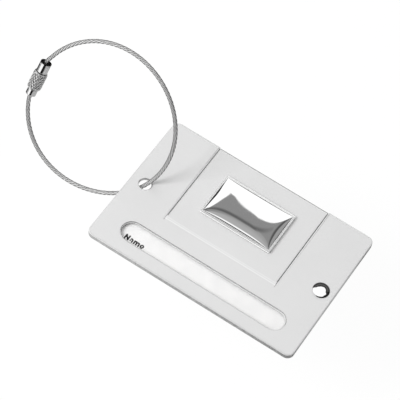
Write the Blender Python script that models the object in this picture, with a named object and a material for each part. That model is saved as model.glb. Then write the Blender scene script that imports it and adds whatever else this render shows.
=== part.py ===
"""Luggage tag: a sheet-metal cover with a sprung badge tongue and a name slot, a card
tray that swings out on a rivet behind it, and a wire-rope loop with a screw clasp.

Metres, +Z up. The origin is the centre of the tray's rear face; +Z comes out of the
cover's front, +X runs to the rivet end and +Y to the badge edge. Sizes are in
millimetres and angles in degrees until a piece is finished.
"""

import math

import bmesh
import bpy
from mathutils import Matrix, Vector

MM = 0.001

# ---------------------------------------------------------------- shared dimensions
PLATE_W, PLATE_H = 80.0, 55.0
HALF_W, HALF_H = PLATE_W / 2, PLATE_H / 2
CORNER_R = 2.5
EDGE_CHAMFER = 0.18
TRAY_T = 0.9  # folded tray, floor and rim together
LAYER_GAP = 0.3  # between the tray and the cover
COVER_T = 0.9
COVER_BOTTOM = TRAY_T + LAYER_GAP
FRONT = COVER_BOTTOM + COVER_T  # the cover's front face

HOLE_X, HOLE_Y = -34.4, -0.35  # cable hole in the cover
RIVET_X, RIVET_Y = 35.1, 0.0  # the tray's pivot
SHANK_R, SHANK_GAP = 1.5, 0.1
WASHER_R, WASHER_SEAT = 3.0, 0.35  # each seat is the depth of a recess in its plate
COLLAR_R, COLLAR_SEAT = 2.7, 0.45

TONGUE_W = 43.3  # sprung tongue between two slits in the cover
TONGUE_BEND_Y = -7.0  # where it bends out of the cover's sheet
SLIT = 0.3
LIP_T = COVER_T  # the lip turned down over the top edge
LIP_GAP = 0.3  # between the lip and the tray
UNDER_LIP_Y = HALF_H - LIP_T - LIP_GAP  # the tray's top edge below the lip

CURVE_STEPS = 8  # segments in a rounded corner
ROUND_STEPS = 32  # segments in a full circle


# ---------------------------------------------------------------- scene and objects
def clear_scene():
    for obj in list(bpy.data.objects):
        bpy.data.objects.remove(obj, do_unlink=True)


def new_material(name, colour, roughness, metallic=1.0, alpha=1.0):
    material = bpy.data.materials.new(name)
    material.use_nodes = True
    inputs = material.node_tree.nodes["Principled BSDF"].inputs
    inputs["Base Color"].default_value = (*colour, 1.0)
    inputs["Roughness"].default_value = roughness
    inputs["Metallic"].default_value = metallic
    inputs["Alpha"].default_value = alpha
    return material


def finish(name, shape, material, sharp=30.0):
    """The bmesh, in millimetres, as a smooth-shaded object in metres."""
    bmesh.ops.remove_doubles(shape, verts=shape.verts, dist=1e-5)
    bmesh.ops.recalc_face_normals(shape, faces=shape.faces)
    bmesh.ops.scale(shape, vec=(MM, MM, MM), verts=shape.verts)
    mesh = bpy.data.meshes.new(name)
    shape.to_mesh(mesh)
    shape.free()
    mesh.shade_smooth()
    mesh.set_sharp_from_angle(angle=math.radians(sharp))
    mesh.materials.append(material)
    obj = bpy.data.objects.new(name, mesh)
    bpy.context.scene.collection.objects.link(obj)
    return obj


def put(obj, at, axis=(0, 0, 1)):
    """Stands the object's local Z along axis, at a point in millimetres."""
    obj.rotation_mode = "QUATERNION"
    obj.rotation_quaternion = Vector((0, 0, 1)).rotation_difference(Vector(axis))
    obj.location = Vector(at) * MM
    return obj


def joint_empty(name, at, axis):
    """An empty on a joint's axis, its local Z along it; the axis is in world directions."""
    empty = bpy.data.objects.new(name, None)
    empty.empty_display_size = 5 * MM
    empty.empty_display_type = "SINGLE_ARROW"
    turn = Vector((0, 0, 1)).rotation_difference(Vector(axis))
    empty.matrix_world = Matrix.Translation(Vector(at) * MM) @ turn.to_matrix().to_4x4()
    bpy.context.scene.collection.objects.link(empty)
    return empty


def carry(parent, *children):
    """Parents each child where it stands."""
    bpy.context.view_layer.update()
    for child in children:
        placed = child.matrix_world.copy()
        child.parent = parent
        child.matrix_parent_inverse = parent.matrix_world.inverted()
        child.matrix_world = placed


# ---------------------------------------------------------------- flat outlines
def arc(centre_x, centre_y, radius, start, end, steps):
    """Points on an arc, ends included."""
    angles = [math.radians(start + (end - start) * i / steps) for i in range(steps + 1)]
    return [
        (centre_x + radius * math.cos(angle), centre_y + radius * math.sin(angle))
        for angle in angles
    ]


def circle(centre_x, centre_y, radius):
    return arc(centre_x, centre_y, radius, 0, 360, ROUND_STEPS)[:-1]


def stadium(centre_x, centre_y, length, width, steps=16):
    """A slot along X with round ends."""
    half, radius = (length - width) / 2, width / 2
    right = arc(centre_x + half, centre_y, radius, -90, 90, steps)
    left = arc(centre_x - half, centre_y, radius, 90, 270, steps)
    return right + left


def rounded(corners):
    """A closed outline through (x, y, radius) corners, each radius a tangent arc."""
    outline = []
    for i, (x, y, radius) in enumerate(corners):
        if radius <= 0:
            outline.append((x, y))
            continue
        here = Vector((x, y))
        back = (Vector(corners[i - 1][:2]) - here).normalized()
        ahead = (Vector(corners[(i + 1) % len(corners)][:2]) - here).normalized()
        half = back.angle(ahead) / 2
        run = radius / math.tan(half)
        centre = here + (back + ahead).normalized() * (radius / math.sin(half))
        first, last = here + back * run - centre, here + ahead * run - centre
        start = math.atan2(first.y, first.x)
        turn = math.atan2(first.x * last.y - first.y * last.x, first.dot(last))
        for k in range(CURVE_STEPS + 1):
            angle = start + turn * k / CURVE_STEPS
            outline.append(
                (centre.x + radius * math.cos(angle), centre.y + radius * math.sin(angle))
            )
    return outline


def box_outline(half_w, half_h, radius):
    """A rounded rectangle about the origin."""
    signs = ((-1, -1), (1, -1), (1, 1), (-1, 1))
    return rounded([(sx * half_w, sy * half_h, radius) for sx, sy in signs])


def offset(loop, distance):
    """The counter-clockwise loop moved outwards, mitred at each corner."""
    moved = []
    for i, point in enumerate(loop):
        here = Vector(point)
        into = (here - Vector(loop[i - 1])).normalized()
        away = (Vector(loop[(i + 1) % len(loop)]) - here).normalized()
        normal_in = Vector((into.y, -into.x))
        normal_out = Vector((away.y, -away.x))
        mitre = distance / (1 + normal_in.dot(normal_out))
        moved.append(tuple(here + (normal_in + normal_out) * mitre))
    return moved


# ---------------------------------------------------------------- solids
def add_walls(shape, rings):
    """Quads between successive closed rings of vertices."""
    for low, high in zip(rings, rings[1:]):
        for i, vert in enumerate(low):
            j = (i + 1) % len(low)
            shape.faces.new((vert, low[j], high[j], high[i]))


def slab(name, material, outer, holes=(), pockets=(), place=None):
    """A plate from (z, loop) levels: its outer wall and through holes run from bottom to
    top, and its pockets from the top down to their floors."""
    shape = bmesh.new()

    def wall(levels):
        rings = [[shape.verts.new((x, y, z)) for x, y in loop] for z, loop in levels]
        add_walls(shape, rings)
        return rings[0], rings[-1]

    def cap(rings):
        edges = [
            shape.edges.get((vert, ring[(i + 1) % len(ring)]))
            for ring in rings
            for i, vert in enumerate(ring)
        ]
        bmesh.ops.triangle_fill(shape, edges=edges, use_beauty=True, use_dissolve=False)

    through = [wall(outer)] + [wall(hole) for hole in holes]
    wells = [wall(pocket) for pocket in pockets]
    cap([low for low, _ in through])
    cap([high for _, high in through] + [top for top, _ in wells])
    for _, floor in wells:
        cap([floor])
    if place is not None:
        bmesh.ops.transform(shape, matrix=place, verts=shape.verts)
    return finish(name, shape, material)


def stepped_hole(radius, seat_radius, bottom, seat_depth, top):
    """Levels of the pivot hole, with a wider round seat in its underside."""
    pivot = circle(RIVET_X, RIVET_Y, radius)
    seat = circle(RIVET_X, RIVET_Y, seat_radius)
    return [(bottom, seat), (bottom + seat_depth, seat), (bottom + seat_depth, pivot), (top, pivot)]


def turned(name, material, profile, steps=ROUND_STEPS, closed=False):
    """A profile of (radius, z) points spun about Z; a closed one makes a ring."""
    shape = bmesh.new()
    verts = [shape.verts.new((radius, 0, z)) for radius, z in profile]
    edges = [shape.edges.new(pair) for pair in zip(verts, verts[1:])]
    if closed:
        edges.append(shape.edges.new((verts[-1], verts[0])))
    bmesh.ops.spin(
        shape,
        geom=verts + edges,
        cent=(0, 0, 0),
        axis=(0, 0, 1),
        dvec=(0, 0, 0),
        angle=2 * math.pi,
        steps=steps,
        use_merge=True,
    )
    return finish(name, shape, material)


# ---------------------------------------------------------------- front cover
HOLE_R = 2.15
HOLE_CHAMFER = 0.12
SLOT_X, SLOT_Y, SLOT_LEN, SLOT_W = 0.3, -18.5, 63.3, 7.6
MOUTH_R = 0.5  # corners where the slits reach the top edge
WASHER_SEAT_GAP = 0.2  # round the washer


def cover_outline():
    """The plate, open at the top edge for the tongue and its slits."""
    mouth_x, mouth_y = TONGUE_W / 2 + SLIT, TONGUE_BEND_Y - SLIT / 2
    return rounded(
        [
            (-HALF_W, -HALF_H, CORNER_R),
            (HALF_W, -HALF_H, CORNER_R),
            (HALF_W, HALF_H, CORNER_R),
            (mouth_x, HALF_H, MOUTH_R),
            (mouth_x, mouth_y, 0),
            (-mouth_x, mouth_y, 0),
            (-mouth_x, HALF_H, MOUTH_R),
            (-HALF_W, HALF_H, CORNER_R),
        ]
    )


def make_cover(material):
    outline = cover_outline()
    low, high = COVER_BOTTOM, FRONT
    hole = circle(HOLE_X, HOLE_Y, HOLE_R)
    hole_mouth = offset(hole, HOLE_CHAMFER)
    slot = stadium(SLOT_X, SLOT_Y, SLOT_LEN, SLOT_W)
    return slab(
        "front_cover",
        material,
        [(low, outline), (high - EDGE_CHAMFER, outline), (high, offset(outline, -EDGE_CHAMFER))],
        holes=[
            [
                (low, hole_mouth),
                (low + HOLE_CHAMFER, hole),
                (high - HOLE_CHAMFER, hole),
                (high, hole_mouth),
            ],
            stepped_hole(SHANK_R + SHANK_GAP, WASHER_R + WASHER_SEAT_GAP, low, WASHER_SEAT, high),
            [(low, slot), (high - HOLE_CHAMFER, slot), (high, offset(slot, HOLE_CHAMFER))],
        ],
    )


# ---------------------------------------------------------------- badge tongue
LIP_BOTTOM = 0.15
LIP_BEND_R = 1.0
TONGUE_CHAMFER = 0.08


def make_tongue(material):
    """The tongue's side profile, with the lip turned down at its free end, drawn along X."""
    bend_y, bend_z = HALF_H - LIP_BEND_R, FRONT - LIP_BEND_R
    root = TONGUE_BEND_Y + SLIT / 2
    profile = [
        (root, COVER_BOTTOM),
        *arc(bend_y, bend_z, LIP_BEND_R - LIP_T, 90, 0, 3),
        (HALF_H - LIP_T, LIP_BOTTOM),
        (HALF_H, LIP_BOTTOM),
        *arc(bend_y, bend_z, LIP_BEND_R, 0, 90, 8),
        (root, FRONT),
    ]
    half = TONGUE_W / 2
    side = offset(profile, -TONGUE_CHAMFER)
    levels = [
        (-half, side),
        (-half + TONGUE_CHAMFER, profile),
        (half - TONGUE_CHAMFER, profile),
        (half, side),
    ]
    # Profile x, y and level z become world Y, Z and X.
    along_x = Matrix(((0, 0, 1, 0), (1, 0, 0, 0), (0, 1, 0, 0), (0, 0, 0, 1)))
    return slab("badge_tongue", material, levels, place=along_x)


# ---------------------------------------------------------------- badge
BADGE_Y = 10.15
BADGE_HALF_W, BADGE_HALF_H = 27.5 / 2, 17.5 / 2
BADGE_R, BADGE_WELL_R = 0.7, 0.4
BADGE_RIM = 0.75
BADGE_CHAMFER = 0.16
BADGE_BOTTOM, BADGE_RIM_TOP = FRONT + 0.35, FRONT + 0.95
BADGE_FLOOR_T = 0.25

DOME_GAP = 0.25  # between the dome and the rim's inner wall
DOME_BOTTOM, DOME_EDGE = FRONT + 0.7, BADGE_RIM_TOP - 0.02
DOME_RISE = 1.5
DOME_POWER_X, DOME_POWER_Y = 2.7, 1.8  # higher is flatter in the middle
DOME_COLUMNS, DOME_ROWS = 24, 16

PAD_INSET, PAD_R = 1.0, 0.6
PAD_BOTTOM, PAD_TOP = FRONT + 0.1, FRONT + 0.25


def make_badge_base(material):
    """A shallow rectangular tray with a rim."""
    outer = box_outline(BADGE_HALF_W, BADGE_HALF_H, BADGE_R)
    inner = box_outline(BADGE_HALF_W - BADGE_RIM, BADGE_HALF_H - BADGE_RIM, BADGE_WELL_R)
    top, shoulder = BADGE_RIM_TOP, BADGE_RIM_TOP - BADGE_CHAMFER
    base = slab(
        "badge_base",
        material,
        [(BADGE_BOTTOM, outer), (shoulder, outer), (top, offset(outer, -BADGE_CHAMFER))],
        pockets=[
            [
                (top, offset(inner, BADGE_CHAMFER)),
                (shoulder, inner),
                (BADGE_BOTTOM + BADGE_FLOOR_T, inner),
            ]
        ],
    )
    return put(base, (0, BADGE_Y, 0))


def make_badge_dome(material):
    """A pillow: its height falls ever faster from the middle to a thin edge on all sides."""
    half_w = BADGE_HALF_W - BADGE_RIM - DOME_GAP
    half_h = BADGE_HALF_H - BADGE_RIM - DOME_GAP

    def share(i, count):
        """Grid lines from -1 to 1, closer together towards the edges."""
        return math.sin(math.pi / 2 * (2 * i / count - 1))

    def height(across, up):
        fall = (1 - abs(across) ** DOME_POWER_X) * (1 - abs(up) ** DOME_POWER_Y)
        return DOME_EDGE + DOME_RISE * math.sqrt(max(0.0, fall))

    shape = bmesh.new()
    top = []
    for j in range(DOME_ROWS + 1):
        up = share(j, DOME_ROWS)
        row = []
        for i in range(DOME_COLUMNS + 1):
            across = share(i, DOME_COLUMNS)
            row.append(shape.verts.new((across * half_w, up * half_h, height(across, up))))
        top.append(row)
    for low, high in zip(top, top[1:]):
        for i in range(DOME_COLUMNS):
            shape.faces.new((low[i], low[i + 1], high[i + 1], high[i]))
    rim = (
        top[0]
        + [row[-1] for row in top[1:]]
        + top[-1][-2::-1]
        + [row[0] for row in top[-2:0:-1]]
    )
    foot = [shape.verts.new((vert.co.x, vert.co.y, DOME_BOTTOM)) for vert in rim]
    add_walls(shape, [rim, foot])
    shape.faces.new(foot)
    return put(finish("badge_dome", shape, material, sharp=40.0), (0, BADGE_Y, 0))


def make_adhesive(material):
    outline = box_outline(BADGE_HALF_W - PAD_INSET, BADGE_HALF_H - PAD_INSET, PAD_R)
    pad = slab("badge_adhesive", material, [(PAD_BOTTOM, outline), (PAD_TOP, outline)])
    return put(pad, (0, BADGE_Y, 0))


# ---------------------------------------------------------------- card tray
TRAY_ARC_R = 66.0  # the tray's end clears the cable on this arc about the rivet
LIP_CLEAR_R = 29.4  # the tray's top edge clears the lip on this arc about the rivet
NOTCH_Y, NOTCH_R = -4.9, 1.5  # the tray is full width below here
TRAY_FLOOR = 0.4
TRAY_RIM = 1.6
COLLAR_SEAT_GAP = 0.25  # round the collar
WELL_R = 1.2
WELL_STEP_X, WELL_STEP_Y = RIVET_X - 5.0, -7.6  # the well's step round the rivet
CARD_Z, CARD_T = 0.47, 0.2
FILM_Z, FILM_T = 0.72, 0.15
CARD_PLAY = 0.4


def arc_corners(radius, start_y, end_y, steps):
    """Square corners on an arc about the rivet, left of it, between two heights."""
    start, end = (
        180 - math.degrees(math.asin((y - RIVET_Y) / radius)) for y in (start_y, end_y)
    )
    return [(x, y, 0) for x, y in arc(RIVET_X, RIVET_Y, radius, start, end, steps)]


def tray_outline():
    return rounded(
        [
            (-HALF_W, -HALF_H, CORNER_R),
            (HALF_W, -HALF_H, CORNER_R),
            (HALF_W, HALF_H, CORNER_R),
            *arc_corners(LIP_CLEAR_R, HALF_H, UNDER_LIP_Y, 4),
            *arc_corners(TRAY_ARC_R, UNDER_LIP_Y, NOTCH_Y, 14),
            (-HALF_W, NOTCH_Y, NOTCH_R),
        ]
    )


def well_outline():
    """The card well, one rim's width inside the tray, and stepped round the rivet."""
    left, right, bottom = -HALF_W + TRAY_RIM, HALF_W - TRAY_RIM, -HALF_H + TRAY_RIM
    top, notch = UNDER_LIP_Y - TRAY_RIM, NOTCH_Y - TRAY_RIM
    return rounded(
        [
            (left, bottom, WELL_R),
            (right, bottom, WELL_R),
            (right, WELL_STEP_Y, WELL_R),
            (WELL_STEP_X, WELL_STEP_Y, WELL_R),
            (WELL_STEP_X, top, WELL_R),
            *arc_corners(TRAY_ARC_R - TRAY_RIM, top, notch, 12),
            (left, notch, WELL_R),
        ]
    )


def make_tray(material):
    outline = tray_outline()
    well = well_outline()
    return slab(
        "card_tray",
        material,
        [(0, offset(outline, -EDGE_CHAMFER)), (EDGE_CHAMFER, outline), (TRAY_T, outline)],
        holes=[
            stepped_hole(SHANK_R + SHANK_GAP, COLLAR_R + COLLAR_SEAT_GAP, 0, COLLAR_SEAT, TRAY_T)
        ],
        pockets=[[(TRAY_T, well), (TRAY_FLOOR, well)]],
    )


def make_sheet(name, material, bottom, thickness):
    """The card and its film fill the well with a little play."""
    outline = offset(well_outline(), -CARD_PLAY)
    return slab(name, material, [(bottom, outline), (bottom + thickness, outline)])


# ---------------------------------------------------------------- pivot
PIVOT_PLAY = 0.1  # between the stacked faces
RIVET_HEAD_R, RIVET_HEAD_H = 2.95, 0.85
RIVET_HEAD_EDGE = 0.22  # height of the head's straight side
RIVET_HEAD_CHAMFER = 0.06
CROWN_STEPS = 6
TENON_R, TENON_BOTTOM = 1.0, 0.1
SHOULDER_Z = COLLAR_SEAT - 0.03  # where the shank steps in to the tenon
WASHER_BORE, WASHER_CHAMFER = SHANK_R + 0.15, 0.05
COLLAR_BORE, COLLAR_CHAMFER = 1.1, 0.08
COLLAR_BOTTOM, COLLAR_TOP = 0.05, 0.33


def make_rivet(material):
    base = FRONT + PIVOT_PLAY
    top = base + RIVET_HEAD_H
    rise = RIVET_HEAD_H - RIVET_HEAD_EDGE
    crown_r = (RIVET_HEAD_R**2 + rise**2) / (2 * rise)
    crown = []
    for i in range(CROWN_STEPS + 1):
        radius = RIVET_HEAD_R * math.sin(math.pi / 2 * i / CROWN_STEPS)
        crown.append((radius, top - crown_r + math.sqrt(crown_r**2 - radius**2)))
    profile = [
        *crown,
        (RIVET_HEAD_R, base + RIVET_HEAD_CHAMFER),
        (RIVET_HEAD_R - RIVET_HEAD_CHAMFER, base),
        (SHANK_R, base),
        (SHANK_R, SHOULDER_Z),
        (TENON_R, SHOULDER_Z),
        (TENON_R, TENON_BOTTOM),
        (0, TENON_BOTTOM),
    ]
    return put(turned("pivot_rivet", material, profile), (RIVET_X, RIVET_Y, 0))


def make_washer(material):
    """A flat ring between the tray and the cover, its outer edges chamfered."""
    low, high = TRAY_T + PIVOT_PLAY, COVER_BOTTOM + WASHER_SEAT - PIVOT_PLAY
    chamfer = WASHER_CHAMFER
    ring = [
        (WASHER_BORE, low),
        (WASHER_R - chamfer, low),
        (WASHER_R, low + chamfer),
        (WASHER_R, high - chamfer),
        (WASHER_R - chamfer, high),
        (WASHER_BORE, high),
    ]
    washer = turned("friction_washer", material, ring, closed=True)
    return put(washer, (RIVET_X, RIVET_Y, 0))


def make_collar(material):
    """A ring round the rivet's tenon, its rear edges chamfered."""
    low, high, chamfer = COLLAR_BOTTOM, COLLAR_TOP, COLLAR_CHAMFER
    ring = [
        (COLLAR_BORE, low + chamfer),
        (COLLAR_BORE + chamfer, low),
        (COLLAR_R - chamfer, low),
        (COLLAR_R, low + chamfer),
        (COLLAR_R, high),
        (COLLAR_BORE, high),
    ]
    collar = turned("rivet_collar", material, ring, closed=True)
    return put(collar, (RIVET_X, RIVET_Y, 0))


# ---------------------------------------------------------------- the loop's geometry
LOOP_R = 26.73
LOOP_AZIMUTH, LOOP_ELEVATION = -85.35, 31.74  # of the loop plane's normal
LOOP_PHASE = -33.05  # in that plane, from the horizontal to the cable hole
# Order, share of the radius, phase: the stiff rope is not quite round.
LOOP_HARMONICS = ((2, 0.00523, -163.1), (3, 0.01207, 60.8))
HOLE_ROPE_Z = 1.52  # where the rope's centre crosses the cover
CLASP_PHI = 206.5  # loop angles run from the cable hole
CLASP_HALF = 6.7
BEND_OUT = 22.0  # loop angle from the clasp's centre to where the rope leaves its circle
OPPOSITE_PHI = CLASP_PHI - 180
HINGE_NEAR, HINGE_FAR = 41.5, 99.5  # where the rope may bend, either side of OPPOSITE_PHI
HINGE_GAP = 0.5
HALF_GAP_PHI = math.degrees(HINGE_GAP / 2 / LOOP_R)
DEGREES_PER_STEP = 4
BEND_STEPS = 6
ROPE_R, ROPE_SIDES = 0.725, 12
ROPE_IN = 2.2  # rope held in each ferrule


def plane_of_loop():
    """The loop plane's normal, the direction to the cable hole, and the one square to both."""
    azimuth, elevation = math.radians(LOOP_AZIMUTH), math.radians(LOOP_ELEVATION)
    normal = Vector(
        (
            math.cos(elevation) * math.cos(azimuth),
            math.cos(elevation) * math.sin(azimuth),
            math.sin(elevation),
        )
    )
    level = Vector((0, 0, 1)).cross(normal).normalized()
    phase = math.radians(LOOP_PHASE)
    to_hole = level * math.cos(phase) + normal.cross(level) * math.sin(phase)
    return normal, to_hole, normal.cross(to_hole)


LOOP_NORMAL, LOOP_TO_HOLE, LOOP_SQUARE = plane_of_loop()


def loop_radius(phi):
    share = sum(
        part * math.cos(order * math.radians(phi) - math.radians(phase))
        for order, part, phase in LOOP_HARMONICS
    )
    return LOOP_R * (1 + share)


def outwards(phi):
    angle = math.radians(phi)
    return LOOP_TO_HOLE * math.cos(angle) + LOOP_SQUARE * math.sin(angle)


HOLE_POINT = Vector((HOLE_X, HOLE_Y, HOLE_ROPE_Z))
LOOP_CENTRE = HOLE_POINT - outwards(0) * loop_radius(0)
CLASP_AXIS = -LOOP_NORMAL.cross(outwards(CLASP_PHI))  # from the tail to the head
CLASP_CENTRE = LOOP_CENTRE + outwards(CLASP_PHI) * math.sqrt(
    loop_radius(CLASP_PHI) ** 2 - CLASP_HALF**2
)


def on_loop(phi):
    return LOOP_CENTRE + outwards(phi) * loop_radius(phi)


def loop_run(start, end):
    """Evenly spaced points from one loop angle to another."""
    steps = max(2, round(abs(end - start) / DEGREES_PER_STEP))
    return [on_loop(start + (end - start) * i / steps) for i in range(steps + 1)]


def into_clasp(phi, side):
    """From the loop at phi, bending to run straight into the ferrule on that side (+1 head)."""
    start, end = on_loop(phi), CLASP_CENTRE + CLASP_AXIS * (side * CLASP_HALF)
    leaving = (on_loop(phi + side) - start).normalized()
    arriving = CLASP_AXIS * -side
    span = (end - start).length
    bend = []
    for i in range(1, BEND_STEPS + 1):
        t = i / BEND_STEPS
        # A cubic Hermite curve between the two tangents.
        bend.append(
            start * (2 * t**3 - 3 * t**2 + 1)
            + leaving * (span * (t**3 - 2 * t**2 + t))
            + end * (3 * t**2 - 2 * t**3)
            + arriving * (span * (t**3 - t**2))
        )
    return [*bend, end + arriving * ROPE_IN]


# ---------------------------------------------------------------- wire rope
def make_rope(name, material, points):
    """A round rope run along points that lie in the loop's plane, square-ended."""
    shape = bmesh.new()
    turns = [2 * math.pi * k / ROPE_SIDES for k in range(ROPE_SIDES)]
    rings = []
    for i, point in enumerate(points):
        before, after = points[max(i - 1, 0)], points[min(i + 1, len(points) - 1)]
        across = (after - before).normalized().cross(LOOP_NORMAL)
        rings.append(
            [
                shape.verts.new(
                    point
                    + ROPE_R * math.cos(turn) * across
                    + ROPE_R * math.sin(turn) * LOOP_NORMAL
                )
                for turn in turns
            ]
        )
    add_walls(shape, rings)
    shape.faces.new(rings[0])
    shape.faces.new(rings[-1])
    return finish(name, shape, material, sharp=50.0)


def make_arm(word, side, material, *clasp_parts):
    """The two hinged ropes from the near hinge to the clasp (side +1 head, -1 tail).
    The far one carries the clasp parts; returns the near hinge."""
    near, far = OPPOSITE_PHI + side * HINGE_NEAR, OPPOSITE_PHI + side * HINGE_FAR
    bend_at = OPPOSITE_PHI + side * (180 - BEND_OUT)
    gap = side * HALF_GAP_PHI
    near_axis = joint_empty(f"{word}_near_axis", on_loop(near), LOOP_NORMAL * -side)
    far_axis = joint_empty(f"{word}_far_axis", on_loop(far), LOOP_NORMAL * -side)
    near_run = loop_run(near + gap, far - gap)
    far_run = loop_run(far + gap, bend_at) + into_clasp(bend_at, side)
    carry(far_axis, make_rope(f"cable_{word}_far", material, far_run), *clasp_parts)
    carry(near_axis, make_rope(f"cable_{word}_near", material, near_run), far_axis)
    return near_axis


# ---------------------------------------------------------------- clasp
# Heights run along the clasp's axis from its centre, towards the head.
CLASP_STEPS = 24
FERRULE_BORE = 0.95
HEAD_R, HEAD_FROM = 1.97, 2.8
HEAD_CHAMFER, HEAD_INNER_CHAMFER = 0.45, 0.12
HEAD_BORE_SPARE = 0.3  # bore beyond the rope's end
STUD_R, STUD_END, STUD_TAPER = 1.3, 0.0, 0.3
THREAD_PITCH, THREAD_DEPTH = 0.5, 0.16
THREAD_START, THREAD_STOP = STUD_END + 0.3, HEAD_FROM - 0.5

SLEEVE_R, SLEEVE_FROM, SLEEVE_TO = 2.45, -4.0, 2.55
SLEEVE_BORE, SLEEVE_LIP_BORE, SLEEVE_LIP = 1.7, 1.25, 0.8
SLEEVE_CHAMFER, SLEEVE_MOUTH_CHAMFER = 0.3, 0.15

TAIL_R, TAIL_TO = 1.8, -4.25
TAIL_CHAMFER, TAIL_INNER_CHAMFER = 0.3, 0.12
NECK_R = 0.95
FLANGE_R, FLANGE_T = 1.35, 0.8
FLANGE_FROM = SLEEVE_FROM + SLEEVE_LIP + 0.3


def make_head(material):
    """The head ferrule, with its threaded stud pointing to the tail."""
    root = STUD_R - THREAD_DEPTH
    thread = []
    z = THREAD_START
    while z < THREAD_STOP:
        thread += [(root, z), (STUD_R, z + THREAD_PITCH / 2)]
        z += THREAD_PITCH
    bore_end = CLASP_HALF - ROPE_IN - HEAD_BORE_SPARE
    profile = [
        (0, bore_end),
        (FERRULE_BORE, bore_end),
        (FERRULE_BORE, CLASP_HALF),
        (HEAD_R - HEAD_CHAMFER, CLASP_HALF),
        (HEAD_R, CLASP_HALF - HEAD_CHAMFER),
        (HEAD_R, HEAD_FROM + HEAD_INNER_CHAMFER),
        (HEAD_R - HEAD_INNER_CHAMFER, HEAD_FROM),
        (root, HEAD_FROM),
        *reversed(thread),
        (STUD_R - STUD_TAPER, STUD_END),
        (0, STUD_END),
    ]
    head = turned("head_ferrule", material, profile, steps=CLASP_STEPS)
    return put(head, CLASP_CENTRE, CLASP_AXIS)


def make_sleeve(material):
    """A round sleeve, its bore narrowed by a lip at the tail end."""
    low, high, chamfer = SLEEVE_FROM, SLEEVE_TO, SLEEVE_CHAMFER
    profile = [
        (SLEEVE_LIP_BORE, low),
        (SLEEVE_R - chamfer, low),
        (SLEEVE_R, low + chamfer),
        (SLEEVE_R, high - chamfer),
        (SLEEVE_R - chamfer, high),
        (SLEEVE_BORE + SLEEVE_MOUTH_CHAMFER, high),
        (SLEEVE_BORE, high - SLEEVE_MOUTH_CHAMFER),
        (SLEEVE_BORE, low + SLEEVE_LIP),
        (SLEEVE_LIP_BORE, low + SLEEVE_LIP),
    ]
    sleeve = turned("knurled_sleeve", material, profile, steps=CLASP_STEPS, closed=True)
    return put(sleeve, CLASP_CENTRE, CLASP_AXIS)


def make_tail(material):
    """The tail ferrule, with a neck and a flange inside the sleeve's lip."""
    end, bore_end = -CLASP_HALF, -CLASP_HALF + ROPE_IN
    profile = [
        (0, FLANGE_FROM + FLANGE_T),
        (FLANGE_R, FLANGE_FROM + FLANGE_T),
        (FLANGE_R, FLANGE_FROM),
        (NECK_R, FLANGE_FROM),
        (NECK_R, TAIL_TO),
        (TAIL_R - TAIL_INNER_CHAMFER, TAIL_TO),
        (TAIL_R, TAIL_TO - TAIL_INNER_CHAMFER),
        (TAIL_R, end + TAIL_CHAMFER),
        (TAIL_R - TAIL_CHAMFER, end),
        (FERRULE_BORE, end),
        (FERRULE_BORE, bore_end),
        (0, bore_end),
    ]
    tail = turned("tail_ferrule", material, profile, steps=CLASP_STEPS)
    return put(tail, CLASP_CENTRE, CLASP_AXIS)


# ---------------------------------------------------------------- assembly
def build_cover_and_pivot():
    make_cover(new_material("satin_metal", colour=(0.74, 0.74, 0.73), roughness=0.38))
    make_rivet(new_material("rivet_steel", colour=(0.78, 0.78, 0.79), roughness=0.08))
    make_washer(
        new_material("washer_nylon", colour=(0.86, 0.85, 0.82), roughness=0.5, metallic=0.0)
    )
    make_collar(new_material("collar_steel", colour=(0.62, 0.62, 0.63), roughness=0.25))


def build_tongue():
    metal = new_material("tongue_metal", colour=(0.74, 0.74, 0.73), roughness=0.38)
    tape = new_material("adhesive_tape", colour=(0.82, 0.80, 0.74), roughness=0.6, metallic=0.0)
    rim_chrome = new_material("badge_rim_chrome", colour=(0.80, 0.80, 0.81), roughness=0.14)
    chrome = new_material("badge_chrome", colour=(0.83, 0.83, 0.84), roughness=0.06)
    carry(
        joint_empty("tongue_axis", (0, TONGUE_BEND_Y, (COVER_BOTTOM + FRONT) / 2), (1, 0, 0)),
        make_tongue(metal),
        make_adhesive(tape),
        make_badge_base(rim_chrome),
        make_badge_dome(chrome),
    )


def build_tray():
    metal = new_material("tray_metal", colour=(0.70, 0.70, 0.70), roughness=0.42)
    card = new_material("card_stock", colour=(0.93, 0.93, 0.92), roughness=0.75, metallic=0.0)
    film = new_material(
        "clear_film", colour=(0.95, 0.97, 0.98), roughness=0.08, metallic=0.0, alpha=0.25
    )
    carry(
        joint_empty("tray_axis", (RIVET_X, RIVET_Y, TRAY_T / 2), (0, 0, 1)),
        make_tray(metal),
        make_sheet("name_card", card, CARD_Z, CARD_T),
        make_sheet("window_film", film, FILM_Z, FILM_T),
    )


def build_cable():
    rope = new_material("wire_rope", colour=(0.55, 0.55, 0.56), roughness=0.32)
    ferrule = new_material("ferrule_nickel", colour=(0.72, 0.72, 0.73), roughness=0.1)
    knurl = new_material("sleeve_nickel", colour=(0.66, 0.66, 0.67), roughness=0.24)
    sleeve_axis = joint_empty("sleeve_axis", CLASP_CENTRE, CLASP_AXIS)
    carry(sleeve_axis, make_sleeve(knurl))
    reach = HINGE_NEAR - HALF_GAP_PHI
    through = loop_run(OPPOSITE_PHI - reach, OPPOSITE_PHI + reach)
    carry(
        joint_empty("cable_axis", HOLE_POINT, (0, 0, 1)),
        make_rope("cable_through", rope, through),
        make_arm("upper", 1, rope, make_head(ferrule)),
        make_arm("lower", -1, rope, make_tail(ferrule), sleeve_axis),
    )


def main():
    clear_scene()
    build_cover_and_pivot()
    build_tongue()
    build_tray()
    build_cable()


main()
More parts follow.
